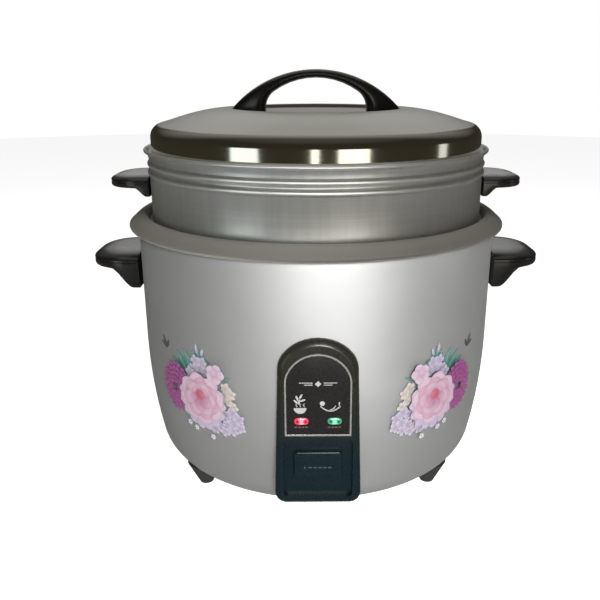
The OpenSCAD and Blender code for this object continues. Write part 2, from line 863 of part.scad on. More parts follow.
module lever_pin() {
    half = arm_w / 2 + 8;
    color("silver") {
        translate([-half, -pivot_y, pivot_z]) rotate([0, 90, 0]) cylinder(r = pin_r, h = 2 * half);
        translate([half, -pivot_y, pivot_z]) rotate([0, 90, 0]) cylinder(r = pin_r + 1.2, h = 1.5);
    }
}

module bracket_rivets() {
    tab_t = 1.5;
    shank_r = 1.5 - run_gap;
    color("lightgray") for (x = [-17, 17]) {
        for (y = [-pivot_y, -switch_y]) {
            translate([x, y, under_z - base_t - 0.8]) cylinder(r = 2.6, h = 0.8);
            translate([x, y, under_z - base_t]) cylinder(r = shank_r, h = base_t + tab_t);
            translate([x, y, under_z + tab_t]) cylinder(r1 = 2.6, r2 = 1.8, h = 1);
        }
    }
}

module lever_spring() {
    // sits round the pin between the barrel and the right cheek
    x0 = arm_w / 2 + 2.2;
    x1 = arm_w / 2 + 4.8;
    color("slategray") translate([0, -pivot_y, pivot_z]) rotate([0, 90, 0])
        coil(pin_r + 1, 0.35, x0, x1, 2);
}

module switch_body() {
    color("black") difference() {
        translate([-10, -switch_y - 5, under_z + 6]) cube([20, 10, 16]);
        translate([-2 - 0.1, -switch_y - 1.6, under_z + 12]) cube([4.2, 3.2, 20]);
    }
}

module switch_button() {
    color("crimson") translate([-2, -switch_y - 1.5, under_z + 18])
        cube([4, 3, pivot_z - arm_t / 2 - face_gap - under_z - 18]);
}

module switch_bracket() {
    color("lightslategray") difference() {
        union() {
            translate([-10, -switch_y - 7, under_z]) cube([20, 14, 6]);
            for (s = [-1, 1]) {
                translate([s > 0 ? 10 : -20, -switch_y - 7, under_z]) cube([10, 14, 1.5]);
            }
        }
        for (x = [-17, 17]) {
            translate([x, -switch_y, under_z - 1]) cylinder(r = 1.5, h = 5);
        }
    }
}

module switch_terminals() {
    color("goldenrod") for (s = [-1, 1]) {
        translate([s > 0 ? 10 : -16, -switch_y - 2.5, under_z + 13]) cube([6, 5, 0.8]);
    }
}

// ---- mains ----

module power_inlet() {
    out_y = drum_r + 4;
    color([0.08, 0.08, 0.08]) difference() {
        union() {
            difference() {
                translate([-32, drum_r - 20, inlet_z - 18]) cube([64, out_y - drum_r + 20, 36]);
                drum_form();
            }
            translate([-inlet_half + fit_gap, drum_r - 22, inlet_z - inlet_tall + fit_gap])
                cube([2 * (inlet_half - fit_gap), out_y - drum_r + 22, 2 * (inlet_tall - fit_gap)]);
        }
        // the socket's well
        translate([-12.2, drum_r - 19, inlet_z - 8]) cube([24.4, 40, 16]);
        for (s = [-1, 1]) {
            translate([s * 24, 0, inlet_z]) rotate([-90, 0, 0]) cylinder(r = 1.6 + run_gap, h = 300);
            translate([s * 24, out_y - 2, inlet_z]) rotate([-90, 0, 0]) cylinder(r = 3.4, h = 10);
        }
        for (x = [-7, 0, 7]) {
            translate([x - 1 - run_gap, drum_r - 30, inlet_z - 2 + (x == 0 ? 2 : -1) - run_gap])
                cube([2 + 2 * run_gap, 20, 4 + 2 * run_gap]);
        }
    }
}

module inlet_pins() {
    color("gold") for (x = [-7, 0, 7]) {
        translate([x - 1, drum_r - 30, inlet_z - 2 + (x == 0 ? 2 : -1)]) cube([2, 26, 4]);
    }
}

module inlet_screws() {
    color("lightgray") for (s = [-1, 1]) {
        translate([s * 24, drum_r + 4, inlet_z]) rotate([90, 0, 0]) {
            translate([0, 0, 0.2]) cylinder(r = 3.2, h = 1.8);
            cylinder(r = 1.6, h = 16);
        }
    }
}

block_y = 80;

module terminal_block() {
    color("ivory") difference() {
        translate([-20, block_y - 8, under_z]) cube([40, 16, 14]);
        for (x = [-13, 0, 13]) {
            translate([x, block_y, under_z + 7]) cylinder(r = 2.5, h = 10);
            translate([x, block_y - 12, under_z + 5]) rotate([-90, 0, 0]) cylinder(r = 1.6, h = 24);
        }
    }
}

module block_screws() {
    color("goldenrod") for (x = [-13, 0, 13]) {
        translate([x, block_y, under_z + 7]) cylinder(r = 2.4, h = 4);
    }
}

module thermal_fuse() {
    color("white") translate([fuse_at[0] - 12, fuse_at[1], floor_z - 3.5]) rotate([0, 90, 0]) {
        cylinder(r = 3.5, h = 24);
        translate([0, 0, -8]) cylinder(r = 0.8, h = 40);
    }
}

module keep_warm_thermostat() {
    color("saddlebrown") translate([keep_warm_at[0], keep_warm_at[1], 0]) {
        translate([0, 0, floor_z - 8]) cylinder(r = 8, h = 7);
        translate([0, 0, floor_z - 1]) cylinder(r = 9, h = 1);
        for (s = [-1, 1]) {
            translate([s * 4 - 1.5, -0.4, floor_z - 14]) cube([3, 0.8, 6]);
        }
    }
}

// Fixed wires inside the drum, each a list of points that it passes through
wire_r = 1.4;
wire_routes = [
    // live pin to the terminal block
    [[-7, drum_r - 30, inlet_z - 1], [-7, 134, inlet_z - 1], [-9, 124, 42], [-12, 114, 34],
     [-13, 102, 25], [-13, 94, 22.5], [-13, 88, 22.5]],
    // neutral pin to the terminal block
    [[7, drum_r - 30, inlet_z - 1], [7, 134, inlet_z - 1], [9, 124, 42], [12, 114, 34],
     [13, 102, 25], [13, 94, 22.5], [13, 88, 22.5]],
    // terminal block to the switch, past the lever's bracket
    [[-13, 71, 22.5], [-18, 60, 24], [-34, 40, 28], [-44, 0, 30], [-44, -50, 30],
     [-36, -78, 31], [-26, -91, 31], [-17, -96, 31]],
    // terminal block to the keep-warm thermostat
    [[0, 71, 22.5], [-8, 62, 26], [-30, 50, 38], [-50, 40, 47], [-55, 35, 51]],
    // switch to the lamps, up the gap between the drum and the heat shield
    [[17, -96, 31], [30, -108, 34], [42, -128, 42], [46, -148, 50], [41, -158.2, 62],
     [36, -160.3, 80], [30, -161.8, 96], [25, -165, 106], [21, -167.2, 109]]
];

module inner_wires() {
    color("whitesmoke") for (route = wire_routes) {
        tube(route, wire_r, [0.2, 0.1, 1], 6);
    }
}

// ---- pot ----

module inner_pot() {
    c = [pot_out_r - pot_corner_r, pot_low_z + pot_corner_r];
    roll = 1.9;
    roll_c = [rim_r - roll, rim_low_z + roll];
    color("darkkhaki") rotate_extrude() union() {
        translate(roll_c) circle(roll, $fn = 32);
        polygon(concat(
            // outside, from the centre of the floor to the flange
            [[0, pot_low_z]],
            arc(c, pot_corner_r, -90, 0, 8),
            [[pot_out_r, seat_z - pot_t], [seat_r + pot_t, seat_z - pot_t]],
            [[crest_r - 0.4, crest_z - pot_t - 1], [crest_r + 2, crest_z - pot_t - 0.8]],
            [[roll_c[0] - 1.2, roll_c[1]]],
            [[roll_c[0] + 0.3, roll_c[1] + roll]],
            // the flange's crowned face back to the crest and down to the seat
            [[crest_r + 8, crest_z - 3.4], [crest_r + 3.5, crest_z - 0.6], [crest_r + 1, crest_z]],
            [[crest_r - 1.5, crest_z - 0.5], [seat_r, seat_z + 1], [seat_r, seat_z]],
            [[pot_in_r, seat_z]],
            reversed(arc(c, pot_corner_r - pot_t, -90, 0, 8)),
            [[0, pot_low_z + pot_t]]));
    }
}

// ---- steamer ----

module steamer_pan() {
    t = steamer_t;
    bend = 12;
    z_low = steamer_low_z;
    rz = steamer_rim_z;
    r = steamer_r;
    c = [steamer_low_r - bend, z_low + bend];
    roll_c = [r + rim_flare - bead_r + 1, rz - bead_r];
    zl = rz - ridge_low;
    zh = rz - ridge_high;
    color("gainsboro") difference() {
        rotate_extrude() union() {
            translate(roll_c) circle(bead_r, $fn = 24);
            polygon(concat(
                [[0, z_low]],
                arc(c, bend, -90, 0, 6),
                [[steamer_low_r, seat_z], [r, seat_z]],
                // two rolled ridges, then the flare
                [[r, zl - 3], [r + 1.2, zl - 1], [r + 1.2, zl + 1], [r, zl + 3]],
                [[r, zh - 3], [r + 1.2, zh - 1], [r + 1.2, zh + 1], [r, zh + 2.6]],
                [[r + 0.6, zh + 5], [roll_c[0] - 0.8, rz - bead_r - 1.2]],
                [[roll_c[0], rz - bead_r], [roll_c[0] - 1.3, rz - 0.8]],
                [[r - 0.2, lid_seat_z], [lid_hole_r, lid_seat_z], [lid_hole_r, lid_seat_z - t]],
                [[r - t, lid_seat_z - t - 2]],
                [[r - t, seat_z + t], [steamer_low_r - t, seat_z + t]],
                reversed(arc(c, bend - t, -90, 0, 6)),
                [[0, z_low + t]]));
        }
        // steam holes in five rings and one in the middle
        translate([0, 0, z_low - 1]) cylinder(r = steam_hole_r, h = 5);
        for (k = [1:5]) {
            around(k * (steamer_low_r - 22) / 5, [for (i = [0:6 * k - 1]) i * 60 / k + 15 * k])
                translate([0, 0, z_low - 1]) cylinder(r = steam_hole_r, h = 5);
        }
        for (s = [-1, 1]) {
            for (y = lug_rivet_ys) {
                translate([s * (steamer_r - 8), y, lug_rivet_z]) rotate([0, s * 90, 0])
                    cylinder(r = 2 + run_gap, h = 16);
            }
        }
    }
}

lug_rivet_ys = [-18, 18];
lug_rivet_z = lug_top_z - 9;

module steamer_handle(s) {
    rotate([0, 0, s > 0 ? 0 : 180]) difference() {
        ear(steamer_r, lug_top_z, lug_reach, lug_w, lug_corner_r, lug_lip, lug_root, 29, 1, 12);
        for (y = lug_rivet_ys) {
            translate([steamer_r - 10, y, lug_rivet_z]) rotate([0, 90, 0])
                cylinder(r = 2 + run_gap, h = 19);
        }
    }
}

module steamer_handle_left() {
    color("dimgray") steamer_handle(-1);
}

module steamer_handle_right() {
    color("dimgray") steamer_handle(1);
}

module steamer_rivets() {
    inside_x = sqrt(pow(steamer_r - steamer_t, 2) - pow(lug_rivet_ys[1] + 3.6, 2));
    color("silver") for (s = [-1, 1]) {
        for (y = lug_rivet_ys) {
            translate([s * (inside_x - 1.4), y, lug_rivet_z]) rotate([0, s * 90, 0]) {
                cylinder(r = 3.6, h = 1.4);
                cylinder(r = 2, h = 11);
            }
        }
    }
}

// ---- lid ----

screw_x = 62;

// The lid's line from the top of its skirt up to the flat centre, t inside its face
function lid_line(t) =
    let(zs = lid_seat_z + skirt_h,
        slope_r = lid_r - shoulder_r * (1 - cos(70)),
        slope_z = zs + shoulder_r * sin(70))
    concat(
        arc([lid_r - shoulder_r, zs], shoulder_r - t, 0, 76, 6),
        [for (i = [1:5]) let(u = i / 5)
            [slope_r - 3 + (lid_flat_r + 3 - slope_r + 3) * u,
             slope_z + 0.6 - t + (lid_top_z - slope_z - 0.6) * sin(90 * u)]],
        [[lid_flat_r, lid_top_z - t]]);

module lid_shell() {
    groove = 1.2;
    color("whitesmoke") difference() {
        rotate_extrude() polygon(concat(
            [[lid_r, lid_seat_z]],
            lid_line(0),
            [[0, lid_top_z], [0, lid_top_z - lid_t]],
            reversed(lid_line(lid_t)),
            // the locating lip that hangs inside the steamer
            [[lid_r - lid_t, lid_seat_z + 2], [lid_r - 2 * lid_t, lid_seat_z + 1]],
            [[lid_r - 2 * lid_t, lid_seat_z - 7], [lid_r - lid_t, lid_seat_z - 7]],
            [[lid_r - lid_t, lid_seat_z]]));
        ring(lid_flat_r - 1.6, lid_flat_r, lid_top_z - groove / 2, lid_top_z + 1);
        for (s = [-1, 1]) {
            translate([s * screw_x, 0, lid_top_z - 5]) cylinder(r = screw_r + run_gap, h = 10);
        }
    }
}

module lid_handle() {
    outer_r = (grip_half * grip_half + grip_h * grip_h) / (2 * grip_h);
    lean = asin((outer_r - grip_h) / outer_r);
    color("dimgray") difference() {
        along_y(-grip_d / 2, grip_d / 2) polygon(concat(
            arc([0, grip_z + grip_h - outer_r], outer_r, lean, 180 - lean, 20),
            arch_line(grip_gap_half, grip_h - grip_t, 18, grip_z)));
        for (s = [-1, 1]) {
            translate([s * screw_x, 0, grip_z - 1]) cylinder(r = screw_r + run_gap, h = 10);
        }
    }
}

module lid_screws() {
    color("lightgray") for (s = [-1, 1]) {
        translate([s * screw_x, 0, lid_top_z - lid_t - 2.4]) {
            cylinder(r = 3.8, h = 2.4);
            cylinder(r = screw_r, h = 2.4 + lid_t + 8);
        }
    }
}

outer_shell();
heat_shield();
base_plate();
base_plate_screws();
feet();
foot_screws();
side_handle_left();
side_handle_right();
side_handle_screws();
control_housing();
housing_screws();
label_plate();
label_frame();
cook_lens();
warm_lens();
lamp_holder();
neon_lamps();
heating_plate();
heating_element();
element_terminals();
terminal_bushes();
plate_posts();
plate_screws();
sensor_sleeve();
sensor_cap();
sensor_spring();
magnet_rod();
lever_paddle();
lever_arm();
lever_bracket();
lever_pin();
lever_spring();
bracket_rivets();
switch_body();
switch_button();
switch_bracket();
switch_terminals();
power_inlet();
inlet_pins();
inlet_screws();
terminal_block();
block_screws();
thermal_fuse();
keep_warm_thermostat();
inner_wires();
inner_pot();
steamer_pan();
steamer_handle_left();
steamer_handle_right();
steamer_rivets();
lid_shell();
lid_handle();
lid_screws();
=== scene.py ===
import json
import math

import bmesh
import bpy
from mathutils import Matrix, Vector, noise

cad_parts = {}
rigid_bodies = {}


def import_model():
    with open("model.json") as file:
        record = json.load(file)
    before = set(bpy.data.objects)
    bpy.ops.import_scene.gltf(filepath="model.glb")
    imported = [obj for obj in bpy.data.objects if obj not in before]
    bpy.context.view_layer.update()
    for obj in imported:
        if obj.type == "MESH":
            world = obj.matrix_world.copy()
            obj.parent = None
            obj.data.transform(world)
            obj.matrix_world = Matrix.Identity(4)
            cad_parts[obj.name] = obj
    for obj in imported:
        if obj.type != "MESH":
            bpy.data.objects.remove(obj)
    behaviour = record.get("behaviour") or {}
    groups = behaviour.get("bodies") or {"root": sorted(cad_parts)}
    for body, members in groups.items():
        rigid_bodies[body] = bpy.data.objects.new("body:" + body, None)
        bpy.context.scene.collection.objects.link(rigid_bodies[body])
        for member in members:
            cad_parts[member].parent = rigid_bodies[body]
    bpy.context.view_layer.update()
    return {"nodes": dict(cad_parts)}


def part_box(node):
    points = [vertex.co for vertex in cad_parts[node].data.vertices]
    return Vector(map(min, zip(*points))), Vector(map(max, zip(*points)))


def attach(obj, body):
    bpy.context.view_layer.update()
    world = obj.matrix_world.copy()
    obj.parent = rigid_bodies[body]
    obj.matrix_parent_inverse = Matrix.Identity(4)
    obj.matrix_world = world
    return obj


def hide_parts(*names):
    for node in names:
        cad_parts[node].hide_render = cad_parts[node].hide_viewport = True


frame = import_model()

MM = 0.001

# ---- where things are, from the frame, in millimetres ----


def span(node):
    """A node's lowest and highest corners in millimetres."""
    low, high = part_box(node)
    return [v / MM for v in low], [v / MM for v in high]


shell_low, shell_high = span("outer_shell")
pot_low, pot_high = span("inner_pot")
pan_low, pan_high = span("steamer_pan")
lid_high = span("lid_shell")[1]
grip_low, grip_high = span("lid_handle")
panel_low, panel_high = span("control_housing")
label_low, label_high = span("label_plate")
frame_low = span("label_frame")[0]
paddle_low, paddle_high = span("lever_paddle")
ear_high = span("side_handle_right")[1]
lug_high = span("steamer_handle_right")[1]
inlet_low, inlet_high = span("power_inlet")

drum_r = shell_high[0]
under_z = shell_low[2]
top_z = shell_high[2]
rim_r = pot_high[0]
rim_low_z = top_z - 5.5
crest_r = drum_r - 6.5
crest_z = pot_high[2]
seat_z = top_z
seat_r = crest_r - 4
pot_out_r = drum_r - 14.5
pot_in_r = pot_out_r - 2
pot_floor_z = pot_low[2]
pan_rim_z = pan_high[2]
pan_low_z = pan_low[2]
pan_in_r = pot_in_r - 1
pan_r = pan_in_r + 4
lid_seat_z = pan_rim_z - 2.3
lid_r = pan_r - 2.6
lid_top_z = lid_high[2]
lid_flat_r = 81
panel_face = -(drum_r + 6)
PANEL_ARCH, PANEL_SPRING = 28, 23
LABEL_ARCH, LABEL_SPRING = 24, 20
arch_z = panel_high[2] - PANEL_ARCH


def arc(centre, radius, start, end, steps=12):
    """Points along an arc, in degrees."""
    points = []
    for i in range(steps + 1):
        turn = math.radians(start + (end - start) * i / steps)
        points.append((centre[0] + radius * math.cos(turn), centre[1] + radius * math.sin(turn)))
    return points


def line(start, end, steps):
    """Points between two ends, without the ends."""
    return [tuple(a + (b - a) * i / steps for a, b in zip(start, end)) for i in range(1, steps)]


def smoothed(points, rounds=2, closed=True):
    """Rounds an outline off by cutting its corners."""
    for _ in range(rounds):
        cut = []
        last = len(points) if closed else len(points) - 1
        for i in range(last):
            a, b = points[i], points[(i + 1) % len(points)]
            cut.append((a[0] * 0.75 + b[0] * 0.25, a[1] * 0.75 + b[1] * 0.25))
            cut.append((a[0] * 0.25 + b[0] * 0.75, a[1] * 0.25 + b[1] * 0.75))
        points = cut if closed else [points[0]] + cut + [points[-1]]
    return points


def even(points, steps):
    """Points at equal steps along a line."""
    lengths = [0]
    for a, b in zip(points, points[1:]):
        lengths.append(lengths[-1] + math.dist(a, b))
    out = []
    for i in range(steps + 1):
        want = lengths[-1] * i / steps
        j = max(k for k in range(len(points) - 1) if lengths[k] <= want + 1e-9)
        u = (want - lengths[j]) / max(1e-9, lengths[j + 1] - lengths[j])
        out.append(tuple(a + (b - a) * min(1, u) for a, b in zip(points[j], points[j + 1])))
    return out


# ---- camera ----


def place_camera():
    """The viewpoint: a little left of straight ahead and above the lid."""
    distance, height, aside, tilt = 0.688, 0.382, -0.0066, 18.2
    data = bpy.data.cameras.new("viewpoint")
    data.lens = 41.82
    data.sensor_width = 36
    data.shift_x = -16 / 600
    data.clip_start = 0.01
    viewpoint = bpy.data.objects.new("viewpoint", data)
    viewpoint.location = (aside, -distance, height)
    viewpoint.rotation_euler = (math.radians(90 - tilt), 0, math.atan2(aside, distance))
    bpy.context.scene.collection.objects.link(viewpoint)
    bpy.context.scene.camera = viewpoint


place_camera()

# ---- finishes ----


class Term:
    """A node's output that takes part in sums and products."""

    def __init__(self, finish, socket):
        self.finish = finish
        self.socket = socket

    def work(self, operation, first, second, clamp=False):
        settings = {"operation": operation, "use_clamp": clamp}
        return self.finish.add("ShaderNodeMath", settings, {0: first, 1: second})

    def __add__(self, other):
        return self.work("ADD", self, other)

    __radd__ = __add__

    def __sub__(self, other):
        return self.work("SUBTRACT", self, other)

    def __rsub__(self, other):
        return self.work("SUBTRACT", other, self)

    def __mul__(self, other):
        return self.work("MULTIPLY", self, other)

    __rmul__ = __mul__

    def __truediv__(self, other):
        return self.work("DIVIDE", self, other)

    def __pow__(self, other):
        return self.work("POWER", self, other)

    def above(self, level, fade):
        """0 below the level, 1 above it, with a soft step."""
        return self.work("ADD", (self - level) / fade, 0.5, clamp=True)


class Finish:
    """One finish: a material and the nodes that vary it over the surface."""

    def __init__(self, name, **sockets):
        self.material = bpy.data.materials.new(name)
        self.material.use_nodes = True
        self.tree = self.material.node_tree
        self.shader = self.tree.nodes["Principled BSDF"]
        for socket, value in sockets.items():
            self.feed(self.shader.inputs[socket.replace("_", " ")], value)
        self.place = self.add("ShaderNodeTexCoord", out="Object")

    def feed(self, socket, value):
        if isinstance(value, Term):
            self.tree.links.new(value.socket, socket)
        elif hasattr(value, "__len__") and len(value) == 3 and socket.type == "RGBA":
            socket.default_value = (*value, 1)
        else:
            socket.default_value = value

    def add(self, kind, settings=None, sockets=None, out=0):
        """Any node: its settings first, then the values or links of its sockets."""
        node = self.tree.nodes.new(kind)
        for name, value in (settings or {}).items():
            if name == "stops":
                ramp = node.color_ramp
                while len(ramp.elements) < len(value):
                    ramp.elements.new(0.5)
                for element, (position, colour) in zip(ramp.elements, value):
                    element.position = position
                    element.color = (*colour, 1)
            else:
                setattr(node, name, value)
        for name, value in (sockets or {}).items():
            self.feed(node.inputs[name], value)
        return Term(self, node.outputs[out]) if out is not None else None

    def grain(self, scale, detail=3, stretch=None, roughness=0.55):
        """Noise over the surface; stretch gives it a direction."""
        place = self.place
        if stretch:
            settings = {"operation": "MULTIPLY"}
            place = self.add("ShaderNodeVectorMath", settings, {0: place, 1: stretch})
        sockets = {"Vector": place, "Scale": scale, "Detail": detail, "Roughness": roughness}
        return self.add("ShaderNodeTexNoise", {}, sockets)

    def blend(self, factor, first, second):
        settings = {"data_type": "RGBA"}
        return self.add("ShaderNodeMix", settings, {0: factor, 6: first, 7: second}, out=2)

    def axis(self, name):
        return self.add("ShaderNodeSeparateXYZ", {}, {0: self.place}, out=name)

    def radius(self):
        """Distance from the cooker's axis, in metres."""
        x, y = self.axis("X"), self.axis("Y")
        return (x * x + y * y) ** 0.5

    def turned(self, scale, depth=2):
        """Fine rings left by spinning: noise drawn out round the axis."""
        place = self.add("ShaderNodeCombineXYZ", {}, {0: self.radius(), 2: self.axis("Z")})
        sockets = {"Vector": place, "Scale": scale, "Detail": depth, "Roughness": 0.6}
        return self.add("ShaderNodeTexNoise", {}, sockets)

    def bumps(self, height, distance, strength=0.5):
        sockets = {"Strength": strength, "Distance": distance, "Height": height}
        self.feed(self.shader.inputs["Normal"], self.add("ShaderNodeBump", {}, sockets))

    def set(self, **sockets):
        for socket, value in sockets.items():
            self.feed(self.shader.inputs[socket.replace("_", " ")], value)
        return self


def silver_lacquer():
    """Metallic silver stoving paint with fine flake and a little orange peel."""
    f = Finish("silver_lacquer", Metallic=0.88, Coat_Weight=0.08, Coat_Roughness=0.25)
    flake = f.grain(2600, 1)
    cloud = f.grain(9, 3)
    f.set(Base_Color=f.blend(0.35 * flake + 0.5 * cloud, (0.33, 0.334, 0.338), (0.56, 0.565, 0.57)))
    f.set(Roughness=0.52 + 0.08 * flake + 0.04 * cloud)
    f.bumps(f.grain(420, 2) + 0.3 * flake, 0.00004, 0.25)
    return f.material


def satin_flange():
    """Warm grey anodised alloy, spun, with water marks."""
    f = Finish("satin_flange", Metallic=0.85)
    rings = f.turned(1500)
    cloud = f.grain(14, 4)
    f.set(Base_Color=f.blend(0.5 * rings + 0.4 * cloud, (0.50, 0.48, 0.44), (0.74, 0.71, 0.66)))
    f.set(Roughness=0.50 + 0.12 * rings + 0.06 * cloud)
    f.bumps(rings, 0.00005, 0.35)
    return f.material


def spun_aluminium():
    """Bright satin aluminium with turning rings, faint upright rub marks and a painted highlight along the
    crests of its ridges and bead.
    """
    f = Finish("spun_aluminium", Metallic=0.92)
    rings = f.turned(900)
    rubs = f.grain(30, 3, stretch=(6, 6, 0.4))
    dull = f.blend(0.5 * rings + 0.5 * rubs, (0.40, 0.41, 0.41), (0.68, 0.685, 0.68))
    height = f.axis("Z") * (1 / MM)
    # painted highlight: the two ridges and the rolled bead are made lighter in colour along their crests, in
    # place of the light they catch
    crest_highlight = 0
    for level in (pan_rim_z - 21.5, pan_rim_z - 13.5, pan_rim_z - 1):
        crest_highlight = crest_highlight + height.above(level - 1.2, 1.6) * (1 - height.above(level + 1.2, 1.6))
    f.set(Base_Color=f.blend(crest_highlight * 0.75, dull, (0.90, 0.90, 0.88)))
    f.set(Roughness=0.26 + 0.12 * rings + 0.10 * rubs)
    f.bumps(rings, 0.00005, 0.3)
    return f.material


def polished_lid():
    """Stainless lid: brushed in rings on top, mirror polished on its skirt."""
    f = Finish("polished_lid", Metallic=1.0)
    rings = f.turned(700, 3)
    cloud = f.grain(11, 3)
    satin = f.axis("Z").above((lid_seat_z + 22.8) * MM, 0.0012)
    f.set(Base_Color=f.blend(satin * (0.4 + 0.4 * rings), (0.60, 0.58, 0.53), (0.70, 0.70, 0.67)))
    f.set(Roughness=0.095 + 0.03 * cloud + satin * (0.18 + 0.10 * rings + 0.05 * cloud))
    f.bumps(rings * satin + 0.15 * cloud, 0.00004, 0.2)
    return f.material


def black_phenolic(name, tone, shine):
    """Glossy black moulding with a faint mottle and handling marks."""
    f = Finish(name, Specular_IOR_Level=0.5, Coat_Weight=0.2, Coat_Roughness=0.15)
    mottle = f.grain(60, 4)
    marks = f.grain(220, 3, stretch=(1, 1, 3))
    light = tuple(2.1 * c for c in tone)
    f.set(Base_Color=f.blend(mottle, tone, light))
    f.set(Roughness=shine + 0.10 * marks + 0.05 * mottle)
    f.bumps(f.grain(1800, 2), 0.00003, 0.3)
    return f.material


def panel_moulding():
    """Deep black-green panel plastic, olive at the arch and teal towards its foot."""
    f = Finish("panel_moulding", Specular_IOR_Level=0.2, Coat_Weight=0.03, Coat_Roughness=0.1)
    height = f.axis("Z").above(0.5 * (panel_low[2] + panel_high[2]) * MM, 0.07)
    mottle = f.grain(45, 3)
    low = f.blend(mottle, (0.0020, 0.0060, 0.0080), (0.0030, 0.0085, 0.0110))
    high = f.blend(mottle, (0.0085, 0.0085, 0.0060), (0.0120, 0.0120, 0.0085))
    f.set(Base_Color=f.blend(height, low, high), Roughness=0.24 + 0.08 * f.grain(180, 3))
    f.bumps(f.grain(1400, 2), 0.00001, 0.2)
    return f.material


def plain(name, dark, light, rough, metal=0.0, scale=300, relief=0.00004, **more):
    """A finish with two close tones, uneven roughness and a fine relief."""
    f = Finish(name, Metallic=metal, **more)
    tone = f.grain(scale, 4)
    spread = f.grain(scale * 0.12, 3)
    f.set(Base_Color=f.blend(0.6 * tone + 0.4 * spread, dark, light))
    f.set(Roughness=rough + 0.12 * tone - 0.05 * spread)
    f.bumps(f.grain(scale * 5, 2), relief, 0.35)
    return f.material


def lamp_lens(name, deep, bright, glow):
    """A small moulded lens with the lamp's two electrodes showing as darker spots; it is made to glow
    faintly with painted light, brightest in its middle.
    """
    f = Finish(name, Roughness=0.12, Coat_Weight=0.6)
    low, high = span(name)
    wide = f.axis("X") * (1 / MM)
    tall = f.axis("Z") * (1 / MM) - 0.5 * (low[2] + high[2])
    middle = 0.5 * (low[0] + high[0])
    near = wide - middle
    off = (near * near) ** 0.5
    spot = ((off - 3.3) * (off - 3.3) + tall * tall) ** 0.5
    dark = 1 - spot.above(1.3, 0.9)
    # painted light: a brighter middle and a faint emission make both lenses glow as if their lamps were lit
    core = 1 - off.above(1.6, 2.2)
    colour = f.blend(dark * 0.9, f.blend(core, deep, bright), tuple(0.25 * c for c in deep))
    f.set(Base_Color=colour, Emission_Color=colour, Emission_Strength=glow)
    f.bumps(f.grain(900, 2), 0.00003, 0.3)
    return f.material


def painted_flowers():
    """Transfer colours held by the petals, under the same clear lacquer."""
    f = Finish("painted_flowers", Coat_Weight=0.05, Coat_Roughness=0.2, Specular_IOR_Level=0.25)
    colour = f.add("ShaderNodeAttribute", {"attribute_name": "tint"}, {}, out="Color")
    dots = f.grain(700, 3)
    worn = f.blend(0.12 * dots, colour, (0.20, 0.19, 0.20))
    f.set(Base_Color=worn, Roughness=0.36 + 0.1 * dots)
    f.bumps(dots, 0.00002, 0.3)
    return f.material


FINISHES = {
    "drum_paint": silver_lacquer(),
    "pot_alloy": satin_flange(),
    "steamer_alloy": spun_aluminium(),
    "lid_steel": polished_lid(),
    "handle_plastic": black_phenolic("handle_phenolic", (0.006, 0.0054, 0.0048), 0.22),
    "panel_plastic": panel_moulding(),
    "label_film": plain("label_film", (0.0055, 0.005, 0.005), (0.0085, 0.0078, 0.0078), 0.24, scale=500,
                        relief=0.00001, Specular_IOR_Level=0.25),
    "frame_silver": plain("frame_silver", (0.16, 0.16, 0.155), (0.25, 0.25, 0.24), 0.40, 0.6),
    "lens_red": lamp_lens("cook_lens", (0.42, 0.022, 0.05), (0.62, 0.16, 0.20), 0.20),
    "lens_green": lamp_lens("warm_lens", (0.022, 0.17, 0.09), (0.10, 0.36, 0.22), 0.20),
    "shield_steel": plain("shield_sheet", (0.40, 0.40, 0.39), (0.60, 0.60, 0.58), 0.30, 0.95, 120),
    "base_steel": plain("base_sheet", (0.20, 0.20, 0.21), (0.33, 0.33, 0.34), 0.42, 0.7, 160),
    "foot_plastic": plain("foot_moulding", (0.010, 0.010, 0.010), (0.022, 0.021, 0.020), 0.38),
    "lamp_plastic": plain("lamp_tray", (0.50, 0.47, 0.40), (0.66, 0.63, 0.55), 0.4),
    "lamp_glass": plain("lamp_glass", (0.62, 0.26, 0.10), (0.85, 0.45, 0.22), 0.10, Coat_Weight=0.8),
    "plate_alloy": plain("plate_casting", (0.44, 0.44, 0.43), (0.62, 0.62, 0.60), 0.36, 0.9, 240),
    "element_steel": plain("element_tube", (0.16, 0.15, 0.14), (0.30, 0.27, 0.25), 0.45, 0.85),
    "contact_brass": plain("contact_brass", (0.50, 0.36, 0.12), (0.72, 0.55, 0.24), 0.28, 1.0),
    "ceramic": plain("bush_ceramic", (0.62, 0.60, 0.55), (0.80, 0.78, 0.73), 0.5),
    "zinc_steel": plain("zinc_plate", (0.46, 0.47, 0.47), (0.68, 0.68, 0.66), 0.28, 0.95, 420),
    "spring_steel": plain("spring_wire", (0.30, 0.30, 0.31), (0.50, 0.50, 0.50), 0.25, 1.0),
    "magnet_iron": plain("magnet_iron", (0.10, 0.10, 0.10), (0.19, 0.18, 0.18), 0.5, 0.6),
    "switch_plastic": plain("switch_case", (0.012, 0.012, 0.013), (0.03, 0.03, 0.03), 0.45),
    "button_plastic": plain("switch_button", (0.45, 0.06, 0.04), (0.60, 0.12, 0.08), 0.35),
    "inlet_plastic": plain("inlet_moulding", (0.010, 0.010, 0.011), (0.024, 0.024, 0.025), 0.34),
    "wire_sleeve": plain("glass_sleeve", (0.58, 0.56, 0.50), (0.76, 0.74, 0.68), 0.7, 0, 900, 0.0001),
    "thermostat_plastic": plain("thermostat_case", (0.03, 0.03, 0.03), (0.06, 0.055, 0.05), 0.4),
    "white_ink": plain("white_ink", (0.13, 0.13, 0.13), (0.24, 0.24, 0.235), 0.5, 0, 900),
    "grey_ink": plain("grey_ink", (0.022, 0.030, 0.034), (0.04, 0.05, 0.055), 0.5, 0, 900),
    "red_ink": plain("red_ink", (0.06, 0.018, 0.022), (0.10, 0.035, 0.04), 0.5, 0, 900),
    "flowers": painted_flowers(),
}

# ---- meshes ----


